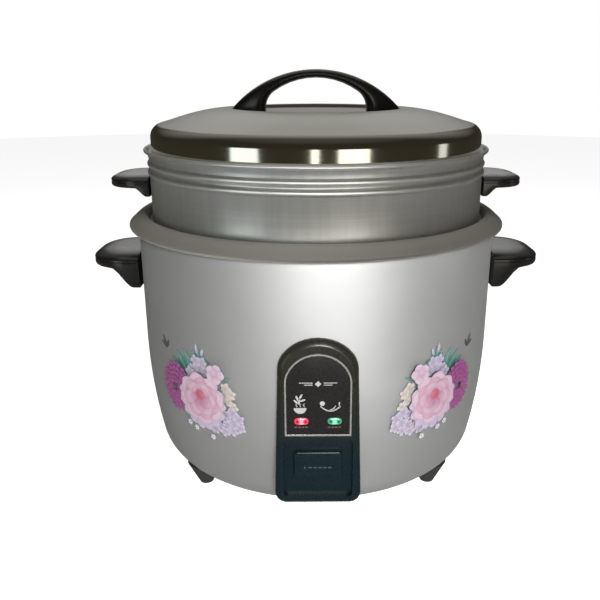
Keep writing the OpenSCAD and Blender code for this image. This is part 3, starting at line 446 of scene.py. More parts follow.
def piece(name, mesh, finish, body, replaces=(), sharp=32):
    """Puts a mesh in the scene on its CAD body, smooth apart from its sharp edges."""
    mesh.polygons.foreach_set("use_smooth", [True] * len(mesh.polygons))
    mesh.set_sharp_from_angle(angle=math.radians(sharp))
    made = bpy.data.objects.new(name, mesh)
    bpy.context.scene.collection.objects.link(made)
    mesh.materials.clear()
    mesh.materials.append(FINISHES[finish])
    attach(made, body)
    if replaces:
        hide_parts(*replaces)
    return made


def mesh_from(points, faces, name="shape"):
    """A closed mesh in metres from points in millimetres, facing outward."""
    mesh = bpy.data.meshes.new(name)
    mesh.from_pydata([[c * MM for c in p] for p in points], [], faces)
    work = bmesh.new()
    work.from_mesh(mesh)
    bmesh.ops.remove_doubles(work, verts=work.verts, dist=1e-7)
    bmesh.ops.recalc_face_normals(work, faces=work.faces)
    work.to_mesh(mesh)
    work.free()
    return mesh


def turned_mesh(outline, steps=320):
    """An outline of (radius, height) points revolved round the axis; poles become fans."""
    points, faces, rows = [], [], []
    for radius, height in outline:
        if radius < 1e-6:
            rows.append([len(points)] * steps)
            points.append((0, 0, height))
            continue
        rows.append(list(range(len(points), len(points) + steps)))
        for k in range(steps):
            turn = 2 * math.pi * k / steps
            points.append((radius * math.sin(turn), -radius * math.cos(turn), height))
    for low, high in zip(rows, rows[1:] + rows[:1]):
        for k in range(steps):
            n = (k + 1) % steps
            corners = []
            for c in (low[k], low[n], high[n], high[k]):
                if c not in corners:
                    corners.append(c)
            if len(corners) > 2:
                faces.append(corners)
    return mesh_from(points, faces)


def lofted_mesh(rings, around=False):
    """Skins closed rings of equally many points; around joins the last ring to the first."""
    count = len(rings[0])
    points = [p for ring in rings for p in ring]
    faces = []
    last = len(rings) if around else len(rings) - 1
    for j in range(last):
        a, b = j * count, ((j + 1) % len(rings)) * count
        for k in range(count):
            n = (k + 1) % count
            faces.append((a + k, a + n, b + n, b + k))
    if not around:
        faces.append(tuple(range(count)))
        faces.append(tuple((len(rings) - 1) * count + k for k in range(count)))
    return mesh_from(points, faces)


def carve(mesh, cutters):
    """Cuts one joined mesh of cutters out of a mesh."""
    body = bpy.data.objects.new("carved", mesh)
    tool = bpy.data.objects.new("cutter", joined(cutters))
    for o in (body, tool):
        bpy.context.scene.collection.objects.link(o)
    cut = body.modifiers.new("cut", "BOOLEAN")
    cut.operation = "DIFFERENCE"
    cut.solver = "EXACT"
    cut.object = tool
    bpy.context.view_layer.update()
    done = bpy.data.meshes.new_from_object(body.evaluated_get(bpy.context.evaluated_depsgraph_get()))
    for o in (body, tool):
        bpy.data.objects.remove(o)
    return done


def joined(meshes):
    work = bmesh.new()
    for mesh in meshes:
        work.from_mesh(mesh)
    whole = bpy.data.meshes.new("joined")
    work.to_mesh(whole)
    work.free()
    return whole


def slab(outline, y0, y1, edge=0.0, steps=3):
    """An outline in X and Z made solid from y0 (front) to y1, its front edge rounded."""
    rings = []
    for i in range(steps + 1 if edge else 1):
        turn = math.radians(90 * i / steps)
        drawn_in = edge * (1 - math.sin(turn)) if edge else 0
        y = y0 + (edge * (1 - math.cos(turn)) if edge else 0)
        rings.append([(x, y, z) for x, z in inset(outline, drawn_in)])
    rings.append([(x, y1, z) for x, z in outline])
    return lofted_mesh(rings)


def inset(outline, distance):
    """Moves a closed outline inward along its corner normals."""
    if not distance:
        return outline
    area = sum(a[0] * b[1] - b[0] * a[1] for a, b in zip(outline, outline[1:] + outline[:1]))
    side = 1 if area > 0 else -1
    moved = []
    for i, p in enumerate(outline):
        a, b = Vector(outline[i - 1]), Vector(outline[(i + 1) % len(outline)])
        here = Vector(p)
        d1, d2 = (here - a).normalized(), (b - here).normalized()
        n1, n2 = Vector((-d1.y, d1.x)) * side, Vector((-d2.y, d2.x)) * side
        mid = (n1 + n2).normalized()
        here += mid * (distance / max(0.5, mid.dot(n1)))
        moved.append((here.x, here.y))
    return moved


def box_outline(x0, x1, z0, z1, corner, steps=6):
    """A rectangle with round corners, in X and Z."""
    c = corner
    return (arc((x1 - c, z0 + c), c, -90, 0, steps) + arc((x1 - c, z1 - c), c, 0, 90, steps)
            + arc((x0 + c, z1 - c), c, 90, 180, steps) + arc((x0 + c, z0 + c), c, 180, 270, steps))


def arch_top(half, rise, spring, z, steps=10):
    """A flattened arch from its right foot over the crown to its left foot."""
    crown = ((half - spring) ** 2 + rise ** 2 - spring ** 2) / (2 * (rise - spring))
    lean = math.degrees(math.atan2(half - spring, crown - rise))
    return (arc((half - spring, z), spring, 0, 90 - lean, steps)
            + arc((0, z + rise - crown), crown, 90 - lean, 90 + lean, steps)[1:]
            + arc((-(half - spring), z), spring, 90 + lean, 180, steps)[1:])


# ---- drum ----

TAPER_R, TAPER_A = 497, 11.3
CORNER_R, CORNER_A, EDGE_R = 31, 47, 10
SHEET = 0.8


def sine(degrees):
    return math.sin(math.radians(degrees))


straight_z = (under_z + EDGE_R * (1 - sine(CORNER_A)) + CORNER_R * (sine(CORNER_A) - sine(TAPER_A))
              + TAPER_R * sine(TAPER_A))


def drum_side(inward=0.0):
    """The drum's wall line from the end of its upright part down to the flat bottom."""
    c1 = (drum_r - TAPER_R, straight_z)
    d2 = TAPER_R - CORNER_R
    c2 = (c1[0] + d2 * sine(90 - TAPER_A), c1[1] - d2 * sine(TAPER_A))
    d3 = CORNER_R - EDGE_R
    c3 = (c2[0] + d3 * sine(90 - CORNER_A), c2[1] - d3 * sine(CORNER_A))
    return (arc(c1, TAPER_R - inward, 0, -TAPER_A, 18)
            + arc(c2, CORNER_R - inward, -TAPER_A, -CORNER_A, 10)[1:]
            + arc(c3, EDGE_R - inward, -CORNER_A, -90, 8)[1:])


def drum_radius(z):
    """The painted face's radius at a height."""
    side = drum_side()
    if z >= side[0][1]:
        return drum_r
    for (r1, z1), (r2, z2) in zip(side, side[1:]):
        if z2 <= z <= z1:
            return r2 + (r1 - r2) * (z - z2) / (z1 - z2)
    return side[-1][0]


def outer_drum():
    roll = 4
    middle = (drum_r - roll, top_z - roll)
    wall = line((drum_r, top_z - roll), (drum_r, straight_z), 10)
    inner_wall = line((drum_r - SHEET, straight_z), (drum_r - SHEET, top_z - roll), 10)
    outline = (arc(middle, roll, 90, 0, 10) + wall + drum_side() + [(112, under_z)]
               + [(112, under_z + SHEET)] + drum_side(SHEET)[::-1] + inner_wall
               + arc(middle, roll - SHEET, 0, 90, 8)
               + [(drum_r - roll - 2, top_z - SHEET), (drum_r - roll - 2, top_z)])
    shell = turned_mesh(outline)
    lens_z = 0.5 * (span("cook_lens")[0][2] + span("cook_lens")[1][2])
    pivot_z = 0.5 * (span("lever_pin")[0][2] + span("lever_pin")[1][2])
    inlet_z = 0.5 * (inlet_low[2] + inlet_high[2])
    windows = [slab(box_outline(-22, 22, lens_z - 9, lens_z + 9, 1), -drum_r - 5, -drum_r + 7),
               slab(box_outline(-10, 10, pivot_z - 15, pivot_z + 15, 1), -drum_r - 5, -drum_r + 25),
               slab(box_outline(-16, 16, inlet_z - 11.5, inlet_z + 11.5, 1), drum_r - 15, drum_r + 10)]
    piece("drum", carve(shell, windows), "drum_paint", "base", ["outer_shell"])


# ---- pot ----


def lift_out_pot():
    corner, sheet, roll = 28, 2, 1.9
    c = (pot_out_r - corner, pot_floor_z + corner)
    lip = (rim_r - roll, rim_low_z + roll)
    flange_top = smoothed([(lip[0] + 0.3, lip[1] + roll + 0.1), (crest_r + 8, crest_z - 3.4),
                           (crest_r + 3.5, crest_z - 0.7), (crest_r + 1, crest_z),
                           (crest_r - 1.5, crest_z - 0.4), (seat_r, seat_z + 1.4),
                           (seat_r - 0.2, seat_z)], 3, closed=False)
    outline = ([(0, pot_floor_z)] + arc(c, corner, -90, 0, 14)
               + [(pot_out_r, seat_z - sheet), (seat_r + sheet, seat_z - sheet)]
               + [(crest_r - 0.4, crest_z - sheet - 1), (crest_r + 2, crest_z - sheet - 0.8)]
               + arc(lip, roll, 200, 430, 20)
               + flange_top + [(pot_in_r, seat_z)]
               + arc(c, corner - sheet, 0, -90, 14) + [(0, pot_floor_z + sheet)])
    piece("pot", turned_mesh(outline), "pot_alloy", "pot", ["inner_pot"], sharp=50)


# ---- steamer ----


def steamer():
    sheet, bend, bead = 1.2, 12, 1.6
    c = (pan_in_r - bend, pan_low_z + bend)
    roll = (pan_r + 2.9, pan_rim_z - bead)
    ridge_low, ridge_high = pan_rim_z - 21.5, pan_rim_z - 13.5

    def ridge(z):
        return smoothed([(pan_r, z - 3.2), (pan_r + 1.7, z - 1.0), (pan_r + 1.7, z + 1.0),
                         (pan_r, z + 3.2)], 2, closed=False)

    flare = smoothed([(pan_r, ridge_high + 3.2), (pan_r + 0.4, ridge_high + 6),
                      (pan_r + 1.4, pan_rim_z - 4.5), (roll[0] - 0.2, pan_rim_z - 3.1)], 2, closed=False)
    outline = ([(0, pan_low_z)] + arc(c, bend, -90, 0, 10)
               + [(pan_in_r, seat_z), (pan_r, seat_z), (pan_r, seat_z + 3)]
               + ridge(ridge_low) + ridge(ridge_high)[:-1] + flare
               + arc(roll, bead, -80, 150, 14)
               + [(pan_r - 0.2, lid_seat_z), (pan_r - 3.5, lid_seat_z), (pan_r - 3.5, lid_seat_z - sheet)]
               + [(pan_r - sheet, lid_seat_z - sheet - 2), (pan_r - sheet, seat_z + sheet)]
               + [(pan_in_r - sheet, seat_z + sheet)]
               + arc(c, bend - sheet, 0, -90, 10) + [(0, pan_low_z + sheet)])
    wall = turned_mesh(outline)
    holes, hole_r = [], 3
    for ring in range(6):
        for i in range(max(1, 6 * ring)):
            turn = math.radians(i * 60 / max(1, ring) + 15 * ring)
            at = (ring * (pan_in_r - 22) / 5 * math.sin(turn), -ring * (pan_in_r - 22) / 5 * math.cos(turn))
            discs = []
            for z in (pan_low_z - 2, pan_low_z + 4):
                discs.append([(x, y, z) for x, y in arc(at, hole_r, 0, 345, 23)])
            holes.append(lofted_mesh(discs))
    piece("steamer", carve(wall, holes), "steamer_alloy", "steamer", ["steamer_pan"], sharp=40)


# ---- lid ----


LID_DISH = 3.5  # how far the lid's middle is pressed down, where the handle stands


def domed_lid():
    sheet, skirt, shoulder = 1.2, 12, 12
    zs = lid_seat_z + skirt
    slope_r = lid_r - shoulder * (1 - math.cos(math.radians(70)))
    slope_z = zs + shoulder * sine(70)

    def dome(inward):
        start = arc((lid_r - shoulder, zs), shoulder - inward, 0, 72, 18)
        outer_r, inner_r, foot_z = slope_r - 3, lid_flat_r + 3, slope_z + 0.6
        rest = []
        for i in range(1, 13):
            rise = (lid_top_z - foot_z) * sine(90 * i / 12)
            rest.append((outer_r + (inner_r - outer_r) * i / 12, foot_z - inward + rise))
        return start + rest + [(lid_flat_r + 0.6, lid_top_z - inward)]

    dish_z = lid_top_z - LID_DISH
    edge = arc((lid_flat_r - 0.2, lid_top_z - 0.9), 0.9, 60, 160, 5)
    edge += arc((lid_flat_r - 3.4, dish_z + 1), 1, 0, -90, 5)
    flat = [(60, dish_z), (30, dish_z), (0, dish_z)]
    outline = ([(lid_r, lid_seat_z)] + line((lid_r, lid_seat_z), (lid_r, zs), 5) + dome(0)
               + edge + flat + [(0, dish_z - sheet), (lid_flat_r - 2.4, dish_z - sheet)]
               + dome(sheet)[::-1]
               + [(lid_r - sheet, lid_seat_z + 2), (lid_r - 2 * sheet, lid_seat_z + 1)]
               + [(lid_r - 2 * sheet, lid_seat_z - 7), (lid_r - sheet, lid_seat_z - 7)]
               + [(lid_r - sheet, lid_seat_z)])
    piece("lid", turned_mesh(outline, 384), "lid_steel", "lid", ["lid_shell"], sharp=35)


def lid_grip():
    """The arched handle: a rounded section swept from foot to foot."""
    half, tall, gap = grip_high[0], grip_high[2] - lid_top_z, 47.5
    crown_t, depth = 7.6, 0.5 * (grip_high[1] - grip_low[1])
    big = (half * half + tall * tall) / (2 * tall)
    lean = math.degrees(math.asin((big - tall) / big))
    outer = arc((0, lid_top_z + tall - big), big, lean, 180 - lean, 60)
    inner = even(arch_top(gap, tall - crown_t, 18, lid_top_z), 60)
    sections, sides, power = [], 36, 3.0
    for i, (o, n) in enumerate(zip(outer, inner)):
        ring = []
        rise = sine(180 * i / 60)
        waist, taper = depth * (1 - 0.12 * rise), 0.85 * (1 - rise) ** 1.5
        for k in range(sides):
            turn = 2 * math.pi * (k + 0.5) / sides
            a, b = math.cos(turn), math.sin(turn)
            across = math.copysign(abs(a) ** (2 / power), a)
            up = 0.5 + 0.5 * math.copysign(abs(b) ** (2 / power), b)
            ring.append((n[0] + (o[0] - n[0]) * up, waist * across * (1 - taper * up),
                         n[1] + (o[1] - n[1]) * up))
        sections.append(ring)
    soles = [[(x, y, lid_top_z - LID_DISH) for x, y, z in sections[end]] for end in (0, -1)]
    sections = [soles[0]] + sections + [soles[1]]
    piece("lid_grip", lofted_mesh(sections), "handle_plastic", "lid", ["lid_handle"], sharp=50)


# ---- hooded handles on the drum and the steamer ----


DRUM_HOOD = {"corner": 34, "lip": 15, "root": 34, "lip_run": 22, "root_run": 4, "hollow": 14,
             "dome": (28, 7.6)}
PAN_HOOD = {"corner": 28, "lip": 12, "root": 20, "lip_run": 27, "root_run": 1, "hollow": 12,
            "dome": (22, 5.8)}


def hood(name, side, wall, high, body, node, corner, lip, root, lip_run, root_run, hollow, dome):
    """A hooded handle: domed on top, seamed along its edge, hollow underneath."""
    tip, half, top = high[0], high[1], high[2]

    def plan(drawn, keep_out=0.0):
        c = max(3, corner - drawn)
        x1, w = tip - drawn, half - drawn
        edge = (line((wall - 2, -w), (x1 - c, -w), 9) + arc((x1 - c, -w + c), c, -90, 0, 10)
                + line((x1, -w + c), (x1, w - c), 5) + arc((x1 - c, w - c), c, 0, 90, 10)
                + line((x1 - c, w), (wall - 2, w), 9))
        root_line = [(wall - 2, w - 2 * w * i / 10) for i in range(11)]
        shaped = []
        for x, y in edge + root_line:
            on_wall = math.sqrt(wall * wall - y * y) - 0.4
            shaped.append((max(x, on_wall, keep_out and wall + keep_out), y))
        return shaped

    def under(x):
        if x >= tip - lip_run:
            return top - lip
        u = min(1, (tip - lip_run - x) / (tip - lip_run - wall - root_run))
        return top - lip - (root - lip) * (3 * u * u - 2 * u ** 3)

    rings = []
    for share in (1, 0.75, 0.5, 0.3, 0.18, 0.1, 0.05, 0.015):
        drop = dome[1] * (1 - math.sqrt(max(0, 1 - (1 - share) ** 2)))
        rings.append([(x, y, top - drop) for x, y in plan(dome[0] * share)])
    seam = top - dome[1] - 1.6
    for drawn, z in ((0, top - dome[1] + 0.4), (0, seam + 0.9), (0.55, seam + 0.45), (0.55, seam - 0.2),
                     (0, seam - 0.6)):
        rings.append([(x, y, z) for x, y in plan(drawn)])
    for drawn, lift in ((0, 2.2), (0.35, 1.0), (1.1, 0.3), (2.0, 0), (3.0, 0.2)):
        rings.append([(x, y, min(seam - 0.7, under(x) + lift)) for x, y in plan(drawn)])
    for drawn, z in ((3.5, None), (3.8, top - 5.5), (6, top - 4.6), (12, top - 4.4)):
        ring = []
        for x, y in plan(drawn, hollow):
            ring.append((x, y, under(x) + 0.6 if z is None else z))
        rings.append(ring)
    rings = [[(side * x, side * y, z) for x, y, z in ring] for ring in rings]
    piece(name, lofted_mesh(rings), "handle_plastic", body, [node], sharp=45)


def handles():
    for side, end in ((-1, "left"), (1, "right")):
        hood("drum_handle_" + end, side, drum_r, ear_high, "base", "side_handle_" + end, **DRUM_HOOD)
        hood("pan_handle_" + end, side, pan_r, lug_high, "steamer", "steamer_handle_" + end, **PAN_HOOD)


# ---- control panel ----


def panel_outline(drawn=0.0):
    corner, low = 10 - drawn, panel_low[2] + drawn
    half_low, half_top = panel_high[0] - drawn, 33 - drawn
    right = arc((half_low - corner, low + corner), corner, -90, 0, 8)
    right += line((half_low, low + corner), (half_top, arch_z), 8)
    left = line((-half_top, arch_z), (-half_low, low + corner), 8)
    left += arc((-half_low + corner, low + corner), corner, 180, 270, 8)
    base = line((-half_low + corner, low), (half_low - corner, low), 12)
    arch = arch_top(half_top, PANEL_ARCH - drawn, PANEL_SPRING - drawn, arch_z, 12)
    return right + arch + left + base


def label_outline(more=0.0):
    half, low = label_high[0] + more, label_low[2] - more
    spring_z = label_high[2] - LABEL_ARCH
    sides = [(half, low + (spring_z - low) * i / 4) for i in range(4)]
    arch = arch_top(half, LABEL_ARCH + more, LABEL_SPRING + more, spring_z, 12)
    return sides + arch + [(-x, z) for x, z in sides[::-1]]


def control_panel():
    """The arched housing with its bevel, label seat and recess."""
    steps = ((5.6, 0.0), (5.0, 0.06), (4.4, 0.3), (2.6, 1.35), (1.2, 2.5), (0.45, 3.6), (0.1, 4.7), (0, 6.0))
    rings = [[(x, panel_face + deep, z) for x, z in panel_outline(drawn)] for drawn, deep in steps]
    rings.append([(x, -drum_r + 15, z) for x, z in panel_outline()])
    housing = lofted_mesh(rings)
    recess = box_outline(-29, 29, panel_low[2] + 7.5, label_low[2] - 4.5, 5)
    seat = label_outline(1.7)
    form = turned_mesh([(0, top_z), (drum_r, top_z)] + drum_side() + [(0, under_z)])
    cuts = [slab(recess, panel_face - 1, panel_face + 5), slab(seat, panel_face - 1, panel_face + 0.8)]
    housing = carve(carve(housing, cuts), [form])
    piece("panel_housing", housing, "panel_plastic", "base", ["control_housing"], sharp=38)


def label_and_frame():
    front = label_low[1]
    lens_low, lens_high = span("cook_lens")
    wide = 0.5 * (lens_high[0] - lens_low[0]) - 1.5
    middle_z = 0.5 * (lens_low[2] + lens_high[2])
    lens_x = -0.5 * (lens_low[0] + lens_high[0])
    plate = slab(label_outline(), front, front + 1.2, 0.2)
    windows = []
    for side in (-1, 1):
        x = side * lens_x
        windows.append(slab(box_outline(x - wide - 0.2, x + wide + 0.2, middle_z - 3.3, middle_z + 3.3, 3.2),
                            front - 1, front + 3))
    piece("label", carve(plate, windows), "label_film", "base", ["label_plate"], sharp=40)
    f = frame_low[1]
    rings = []
    for drawn, y in ((0.15, f + 1.6), (0.1, f + 0.35), (-0.15, f + 0.05), (-0.7, f), (-1.25, f + 0.05),
                     (-1.4, f + 0.35), (-1.4, f + 1.6)):
        rings.append([(x, y, z) for x, z in label_outline(-drawn)])
    piece("label_border", lofted_mesh(rings, around=True), "frame_silver", "base", ["label_frame"], sharp=50)
    for side, name, slot in ((-1, "cook_lens", "lens_red"), (1, "warm_lens", "lens_green")):
        x = side * lens_x
        shape = box_outline(x - wide, x + wide, middle_z - 3.1, middle_z + 3.1, 3.05)
        back = span(name)[1][1]
        lens = slab(shape, lens_low[1], back, 1.4, 5)
        piece("lamp_" + name, lens, slot, "base", [name], sharp=45)


PADDLE_H = 23.4


def lever_paddle():
    """The cooking paddle: a pillowed plate with a web behind it."""
    low, high = paddle_low, paddle_high
    x1, z1 = high[0], high[2]
    pivot_z = 0.5 * (span("lever_pin")[0][2] + span("lever_pin")[1][2])
    z0 = z1 - PADDLE_H
    rings = []
    pillow = ((12, 0.95), (9, 0.9), (6, 0.6), (4, 0.3), (2.2, 0.05), (1.2, 0), (0.5, 0.2), (0, 0.8))
    for drawn, deep in pillow:
        outline = box_outline(-x1 + drawn * 0.99, x1 - drawn * 0.99, z0 + drawn * 0.9, z1 - drawn * 0.9,
                              max(0.6, 3 - drawn))
        rings.append([(x, low[1] + deep, z) for x, z in outline])
    rings.append([(x, low[1] + 3, z) for x, z in box_outline(-x1, x1, z0, z1, 3)])
    web = slab(box_outline(-3, 3, max(low[2], pivot_z - 2.5), pivot_z + 12, 0.6), low[1] + 2.6, high[1])
    slot = slab(box_outline(-6, 6, pivot_z - 1, pivot_z + 1, 0.2), low[1] + 6, high[1] + 2)
    web = carve(web, [slot])
    piece("paddle", joined([lofted_mesh(rings), web]), "panel_plastic", "lever", ["lever_paddle"], sharp=40)
    mark_z, front = 0.5 * (z0 + z1) - 3.2, low[1] + 0.84
    marks = [ink_patch(arc((-11.5, mark_z), 1.1, 0, 345, 23), front)]
    for i in range(5):
        x = -8 + 4.1 * i
        marks.append(ink_patch(box_outline(x, x + 2.9, mark_z - 0.45, mark_z + 0.45, 0.3, 3), front))
    piece("paddle_mark", joined(marks), "grey_ink", "lever")


def ink_patch(outline, front, thick=0.25):
    """A thin printed shape standing just off a face."""
    return slab(outline, front, front + thick)


def stroke(points, width, front, taper=0.0):
    """A thin printed line through (x, z) points."""
    left, right = [], []
    for i, p in enumerate(points):
        a, b = Vector(points[max(0, i - 1)]), Vector(points[min(len(points) - 1, i + 1)])
        d = (b - a).normalized()
        w = 0.5 * width * (1 - taper * i / (len(points) - 1))
        left.append((p[0] - d.y * w, p[1] + d.x * w))
        right.append((p[0] + d.y * w, p[1] - d.x * w))
    return ink_patch(left + right[::-1], front)


def label_signs():
    """Plain signs: an ornament, grains of rice, a bowl with steam, a dish and bars."""
    front, low = label_low[1] - 0.05, label_low[2]
    crest = low + 45.5
    signs = []
    signs.append(ink_patch([(0, crest + 2.6), (-2.6, crest), (0, crest - 2.6), (2.6, crest)], front))
    for side in (-1, 1):
        for i, (x0, x1) in enumerate(((4.4, 15.5), (4.4, 11.5))):
            z = crest + 0.9 - 1.8 * i
            near, far = sorted((side * x0, side * x1))
            signs.append(ink_patch(box_outline(near, far, z - 0.35, z + 0.35, 0.3, 3), front))
    grains = ((60, -14, 34.5), (110, -17, 33), (20, -12.5, 31), (80, -15.4, 29.6), (140, -18, 29.8))
    for angle, x, z in grains:
        c, s = math.cos(math.radians(angle)), math.sin(math.radians(angle))
        oval = [(2.4 * u, 0.85 * v) for u, v in arc((0, 0), 1, 0, 342, 19)]
        signs.append(ink_patch([(x + u * c - v * s, low + z + u * s + v * c) for u, v in oval], front))
    signs.append(ink_patch(arc((-14.6, low + 24.2), 5.2, 180, 360, 14), front))
    for i in range(3):
        x = -17.6 + 3 * i
        wisp = [(x + 0.5 * math.sin(t * 1.6), low + 25 + 0.62 * t) for t in range(6)]
        signs.append(stroke(wisp, 0.6, front))
    dish = [(2 + 0.95 * t, low + 27.4 - 6.0 * math.sin(math.pi * (t + 2) / 21)) for t in range(18)]
    signs.append(stroke(dish, 1.0, front))
    signs.append(ink_patch(arc((3.4, low + 28.2), 2.1, 0, 342, 19), front))
    signs.append(stroke([(17.2, low + 29.5), (17.3, low + 24.5)], 1.1, front, 0.4))
    signs.append(stroke([(9.5, low + 22.3), (12.5, low + 23.6), (14.2, low + 26)], 0.8, front))
    piece("label_signs", joined(signs), "white_ink", "base")
    bars = []
    for side in (-1, 1):
        for i in range(4):
            x = side * 13.6 - 5.6 + 2.9 * i
            bars.append(ink_patch(box_outline(x, x + 2.2, low + 6.3, low + 7.3, 0.2, 2), front))
    piece("label_bars", joined(bars), "red_ink", "base")


# ---- flowers on the drum ----

INK = 0.36  # how much light the transfer colours give back, against their bright names


class Spray:
    """Thin coloured petals laid on the drum, each a little above the last."""

    def __init__(self, side, azimuth, height):
        self.side, self.azimuth, self.height = side, azimuth, height
        self.points, self.faces, self.tints = [], [], []
        self.layer = 0

    def put(self, across, up, lift):
        turn = math.radians(self.azimuth) - across / drum_r
        z = self.height + up
        r = drum_radius(z) + 0.10 + 0.022 * lift
        self.points.append((self.side * r * math.sin(turn), -r * math.cos(turn), z))

    def petal(self, across, up, long, wide, lean, inner, outer, ruffle=0.0, point=0.25):
        """A petal with its foot at a point, coloured from its foot to its edge."""
        self.layer += 1
        rings, around = 4, 22
        a = math.radians(lean)
        start = len(self.points)
        for j in range(rings + 1):
            share = j / rings
            for k in range(around if j else 1):
                t = 2 * math.pi * k / around
                wave = 1 + ruffle * math.sin(5 * t + self.layer) * share
                u = long * (0.5 + 0.5 * share * math.cos(t) * wave)
                v = 0.5 * wide * share * math.sin(t) * wave * (1 + point * math.cos(t))
                self.put(across + u * math.cos(a) - v * math.sin(a), up + u * math.sin(a) + v * math.cos(a),
                         self.layer)
                reach = min(1, max(0, u / long))
                grain = 0.5 + 0.5 * noise.noise(Vector((across + u, up + v, self.layer * 0.7)) * 0.35)
                shade = min(1, reach ** 1.3 * 0.75 + 0.25 * grain)
                rim = 0.82 if j == rings else 1
                self.tints.append([INK * (p + (q - p) * shade) * rim for p, q in zip(inner, outer)] + [1])
        for k in range(around):
            n = (k + 1) % around
            self.faces.append((start, start + 1 + k, start + 1 + n))
            for j in range(rings - 1):
                p, q = start + 1 + j * around, start + 1 + (j + 1) * around
                self.faces.append((p + k, q + k, q + n, p + n))

    def rose(self, x, z, radius):
        plum, pink = (0.45, 0.16, 0.30), (0.72, 0.33, 0.46)
        blush, pale = (0.80, 0.50, 0.62), (0.72, 0.55, 0.68)
        for count, reach, size, turn, dark, light in ((8, 0.30, 0.72, 10, blush, pale),
                                                      (7, 0.16, 0.68, 34, plum, blush),
                                                      (6, 0.06, 0.62, 5, pink, pale),
                                                      (5, 0.00, 0.50, 50, plum, blush)):
            for i in range(count):
                lean = turn + 360 * i / count
                a = math.radians(lean)
                self.petal(x + radius * reach * math.cos(a), z + radius * reach * math.sin(a),
                           radius * size, radius * size * 1.05, lean, dark, light, 0.03, -0.1)
        core, rosy = (0.55, 0.06, 0.12), (0.74, 0.26, 0.36)
        for i in range(5):
            lean = 100 + 72 * i
            a = math.radians(lean + 200)
            self.petal(x + 2.4 * math.cos(a), z + 4 + 2.4 * math.sin(a), radius * 0.30, radius * 0.34, lean,
                       core, rosy, 0.05, -0.1)

    def ruffled(self, x, z, wide, tall):
        deep, bright = (0.22, 0.015, 0.15), (0.52, 0.12, 0.40)
        for count, share in ((20, 1.0), (17, 0.8), (14, 0.58), (10, 0.36), (6, 0.2)):
            for i in range(count):
                lean = 360 * i / count + 40 * share
                a = math.radians(lean)
                px, pz = 0.45 * share * wide * math.cos(a), 0.45 * share * tall * math.sin(a)
                self.petal(x + px, z + pz, 0.30 * wide * (0.6 + share) * 0.62, 0.2 * wide, lean,
                           deep, bright, 0.14, 0.3)

    def blossom(self, x, z, radius, turn, eye, edge):
        for i in range(5):
            self.petal(x, z, radius, radius * 0.75, turn + 72 * i, eye, edge, 0.05, 0.2)
        self.petal(x - 0.6, z, 1.2, 1.1, 0, (0.55, 0.42, 0.12), (0.7, 0.6, 0.3))

    def leaf(self, x, z, long, lean, wide=0.34):
        self.petal(x, z, long, long * wide, lean, (0.02, 0.13, 0.10), (0.16, 0.42, 0.36), 0.02, -0.45)
        self.petal(x, z, long * 0.85, long * 0.06, lean, (0.10, 0.30, 0.26), (0.34, 0.60, 0.54), 0, -0.4)


def flower_spray(side, name):
    """A spray of the maker's own: a rose with a ruffled flower, buds, leaves and blossoms."""
    s = Spray(side, 34.5, 121)
    slate, mist = (0.03, 0.03, 0.05), (0.20, 0.19, 0.23)
    lilac, milk = (0.42, 0.34, 0.52), (0.72, 0.68, 0.80)
    cream, ivory = (0.55, 0.46, 0.40), (0.80, 0.76, 0.72)
    # the spray runs outward to the side, so a leaf's lean is seen from the front
    for x, z, long, lean in ((-50, 26, 13, 118), (-50, 27, 9, 60), (-52, 28, 8, 160)):
        s.petal(x, z, long, long * 0.42, lean, slate, mist, 0.05, -0.2)
    for x, z, long, lean in ((-20, 8, 25, 148), (-17, 10, 26, 132), (-14, 12, 24, 112), (-24, 4, 24, 160),
                             (-9, 22, 14, 100), (-4, 24, 14, 66), (-12, 20, 13, 128), (-6, 25, 15, 84),
                             (22, 12, 10, -50), (20, 14, 9, 20), (-12, -22, 15, -118), (-8, -24, 13, -88),
                             (-16, -19, 12, -146), (8, 26, 8, 150)):
        s.leaf(x, z, long, lean)
    for x, z, long, lean in ((-6, 33, 9, 96), (-1, 32, 7, 70)):
        s.petal(x, z, long, 3.2, lean, lilac, milk, 0.05, -0.3)
    for i, (x, z) in enumerate(((-11, 18), (-3, 21), (-8, 26), (4, 19), (0, 26), (9, 15), (-15, 14))):
        s.blossom(x, z, 5.6, 17 * i, lilac, milk)
    for i, (x, z) in enumerate(((24, 8), (29, 3), (26, -3), (31, -9), (23, 1))):
        s.blossom(x, z, 5.2, 23 * i, cream, ivory)
    for i, (x, z) in enumerate(((30, -14), (36, -19), (24, -17), (31, -23), (37, -27), (25, -26), (18, -29),
                                (30, -31), (12, -33), (22, -33))):
        s.blossom(x, z, 5.4, 29 * i, lilac, milk)
    s.ruffled(-32, -4, 26, 35)
    for i in range(11):
        lean = 168 + 24 * i
        a = math.radians(lean)
        s.petal(12 * math.cos(a), -8 + 14 * math.sin(a), 14, 12, lean, lilac, (0.70, 0.60, 0.74), 0.04, -0.1)
    s.rose(0, -6, 24)
    for i in range(5):
        lean = 70 + 72 * i
        a = math.radians(lean)
        s.petal(17 + 1.2 * math.cos(a), 21 + 1.2 * math.sin(a), 8, 9, lean, (0.56, 0.36, 0.50),
                (0.78, 0.64, 0.74), 0.03, -0.1)
    s.petal(15.5, 18, 6.5, 5.5, 80, (0.60, 0.32, 0.46), (0.76, 0.56, 0.68), 0.03, 0)
    for i, (x, z) in enumerate(((-15, -33), (-7, -36), (11, -40))):
        s.blossom(x, z, 2.9, 31 * i, milk, (0.80, 0.78, 0.82))
    mesh = bpy.data.meshes.new(name)
    mesh.from_pydata([[c * MM for c in p] for p in s.points], [], s.faces)
    tint = mesh.color_attributes.new("tint", "FLOAT_COLOR", "POINT")
    tint.data.foreach_set("color", [c for t in s.tints for c in t])
    if side > 0:
        mesh.flip_normals()
    piece(name, mesh, "flowers", "base", sharp=180)


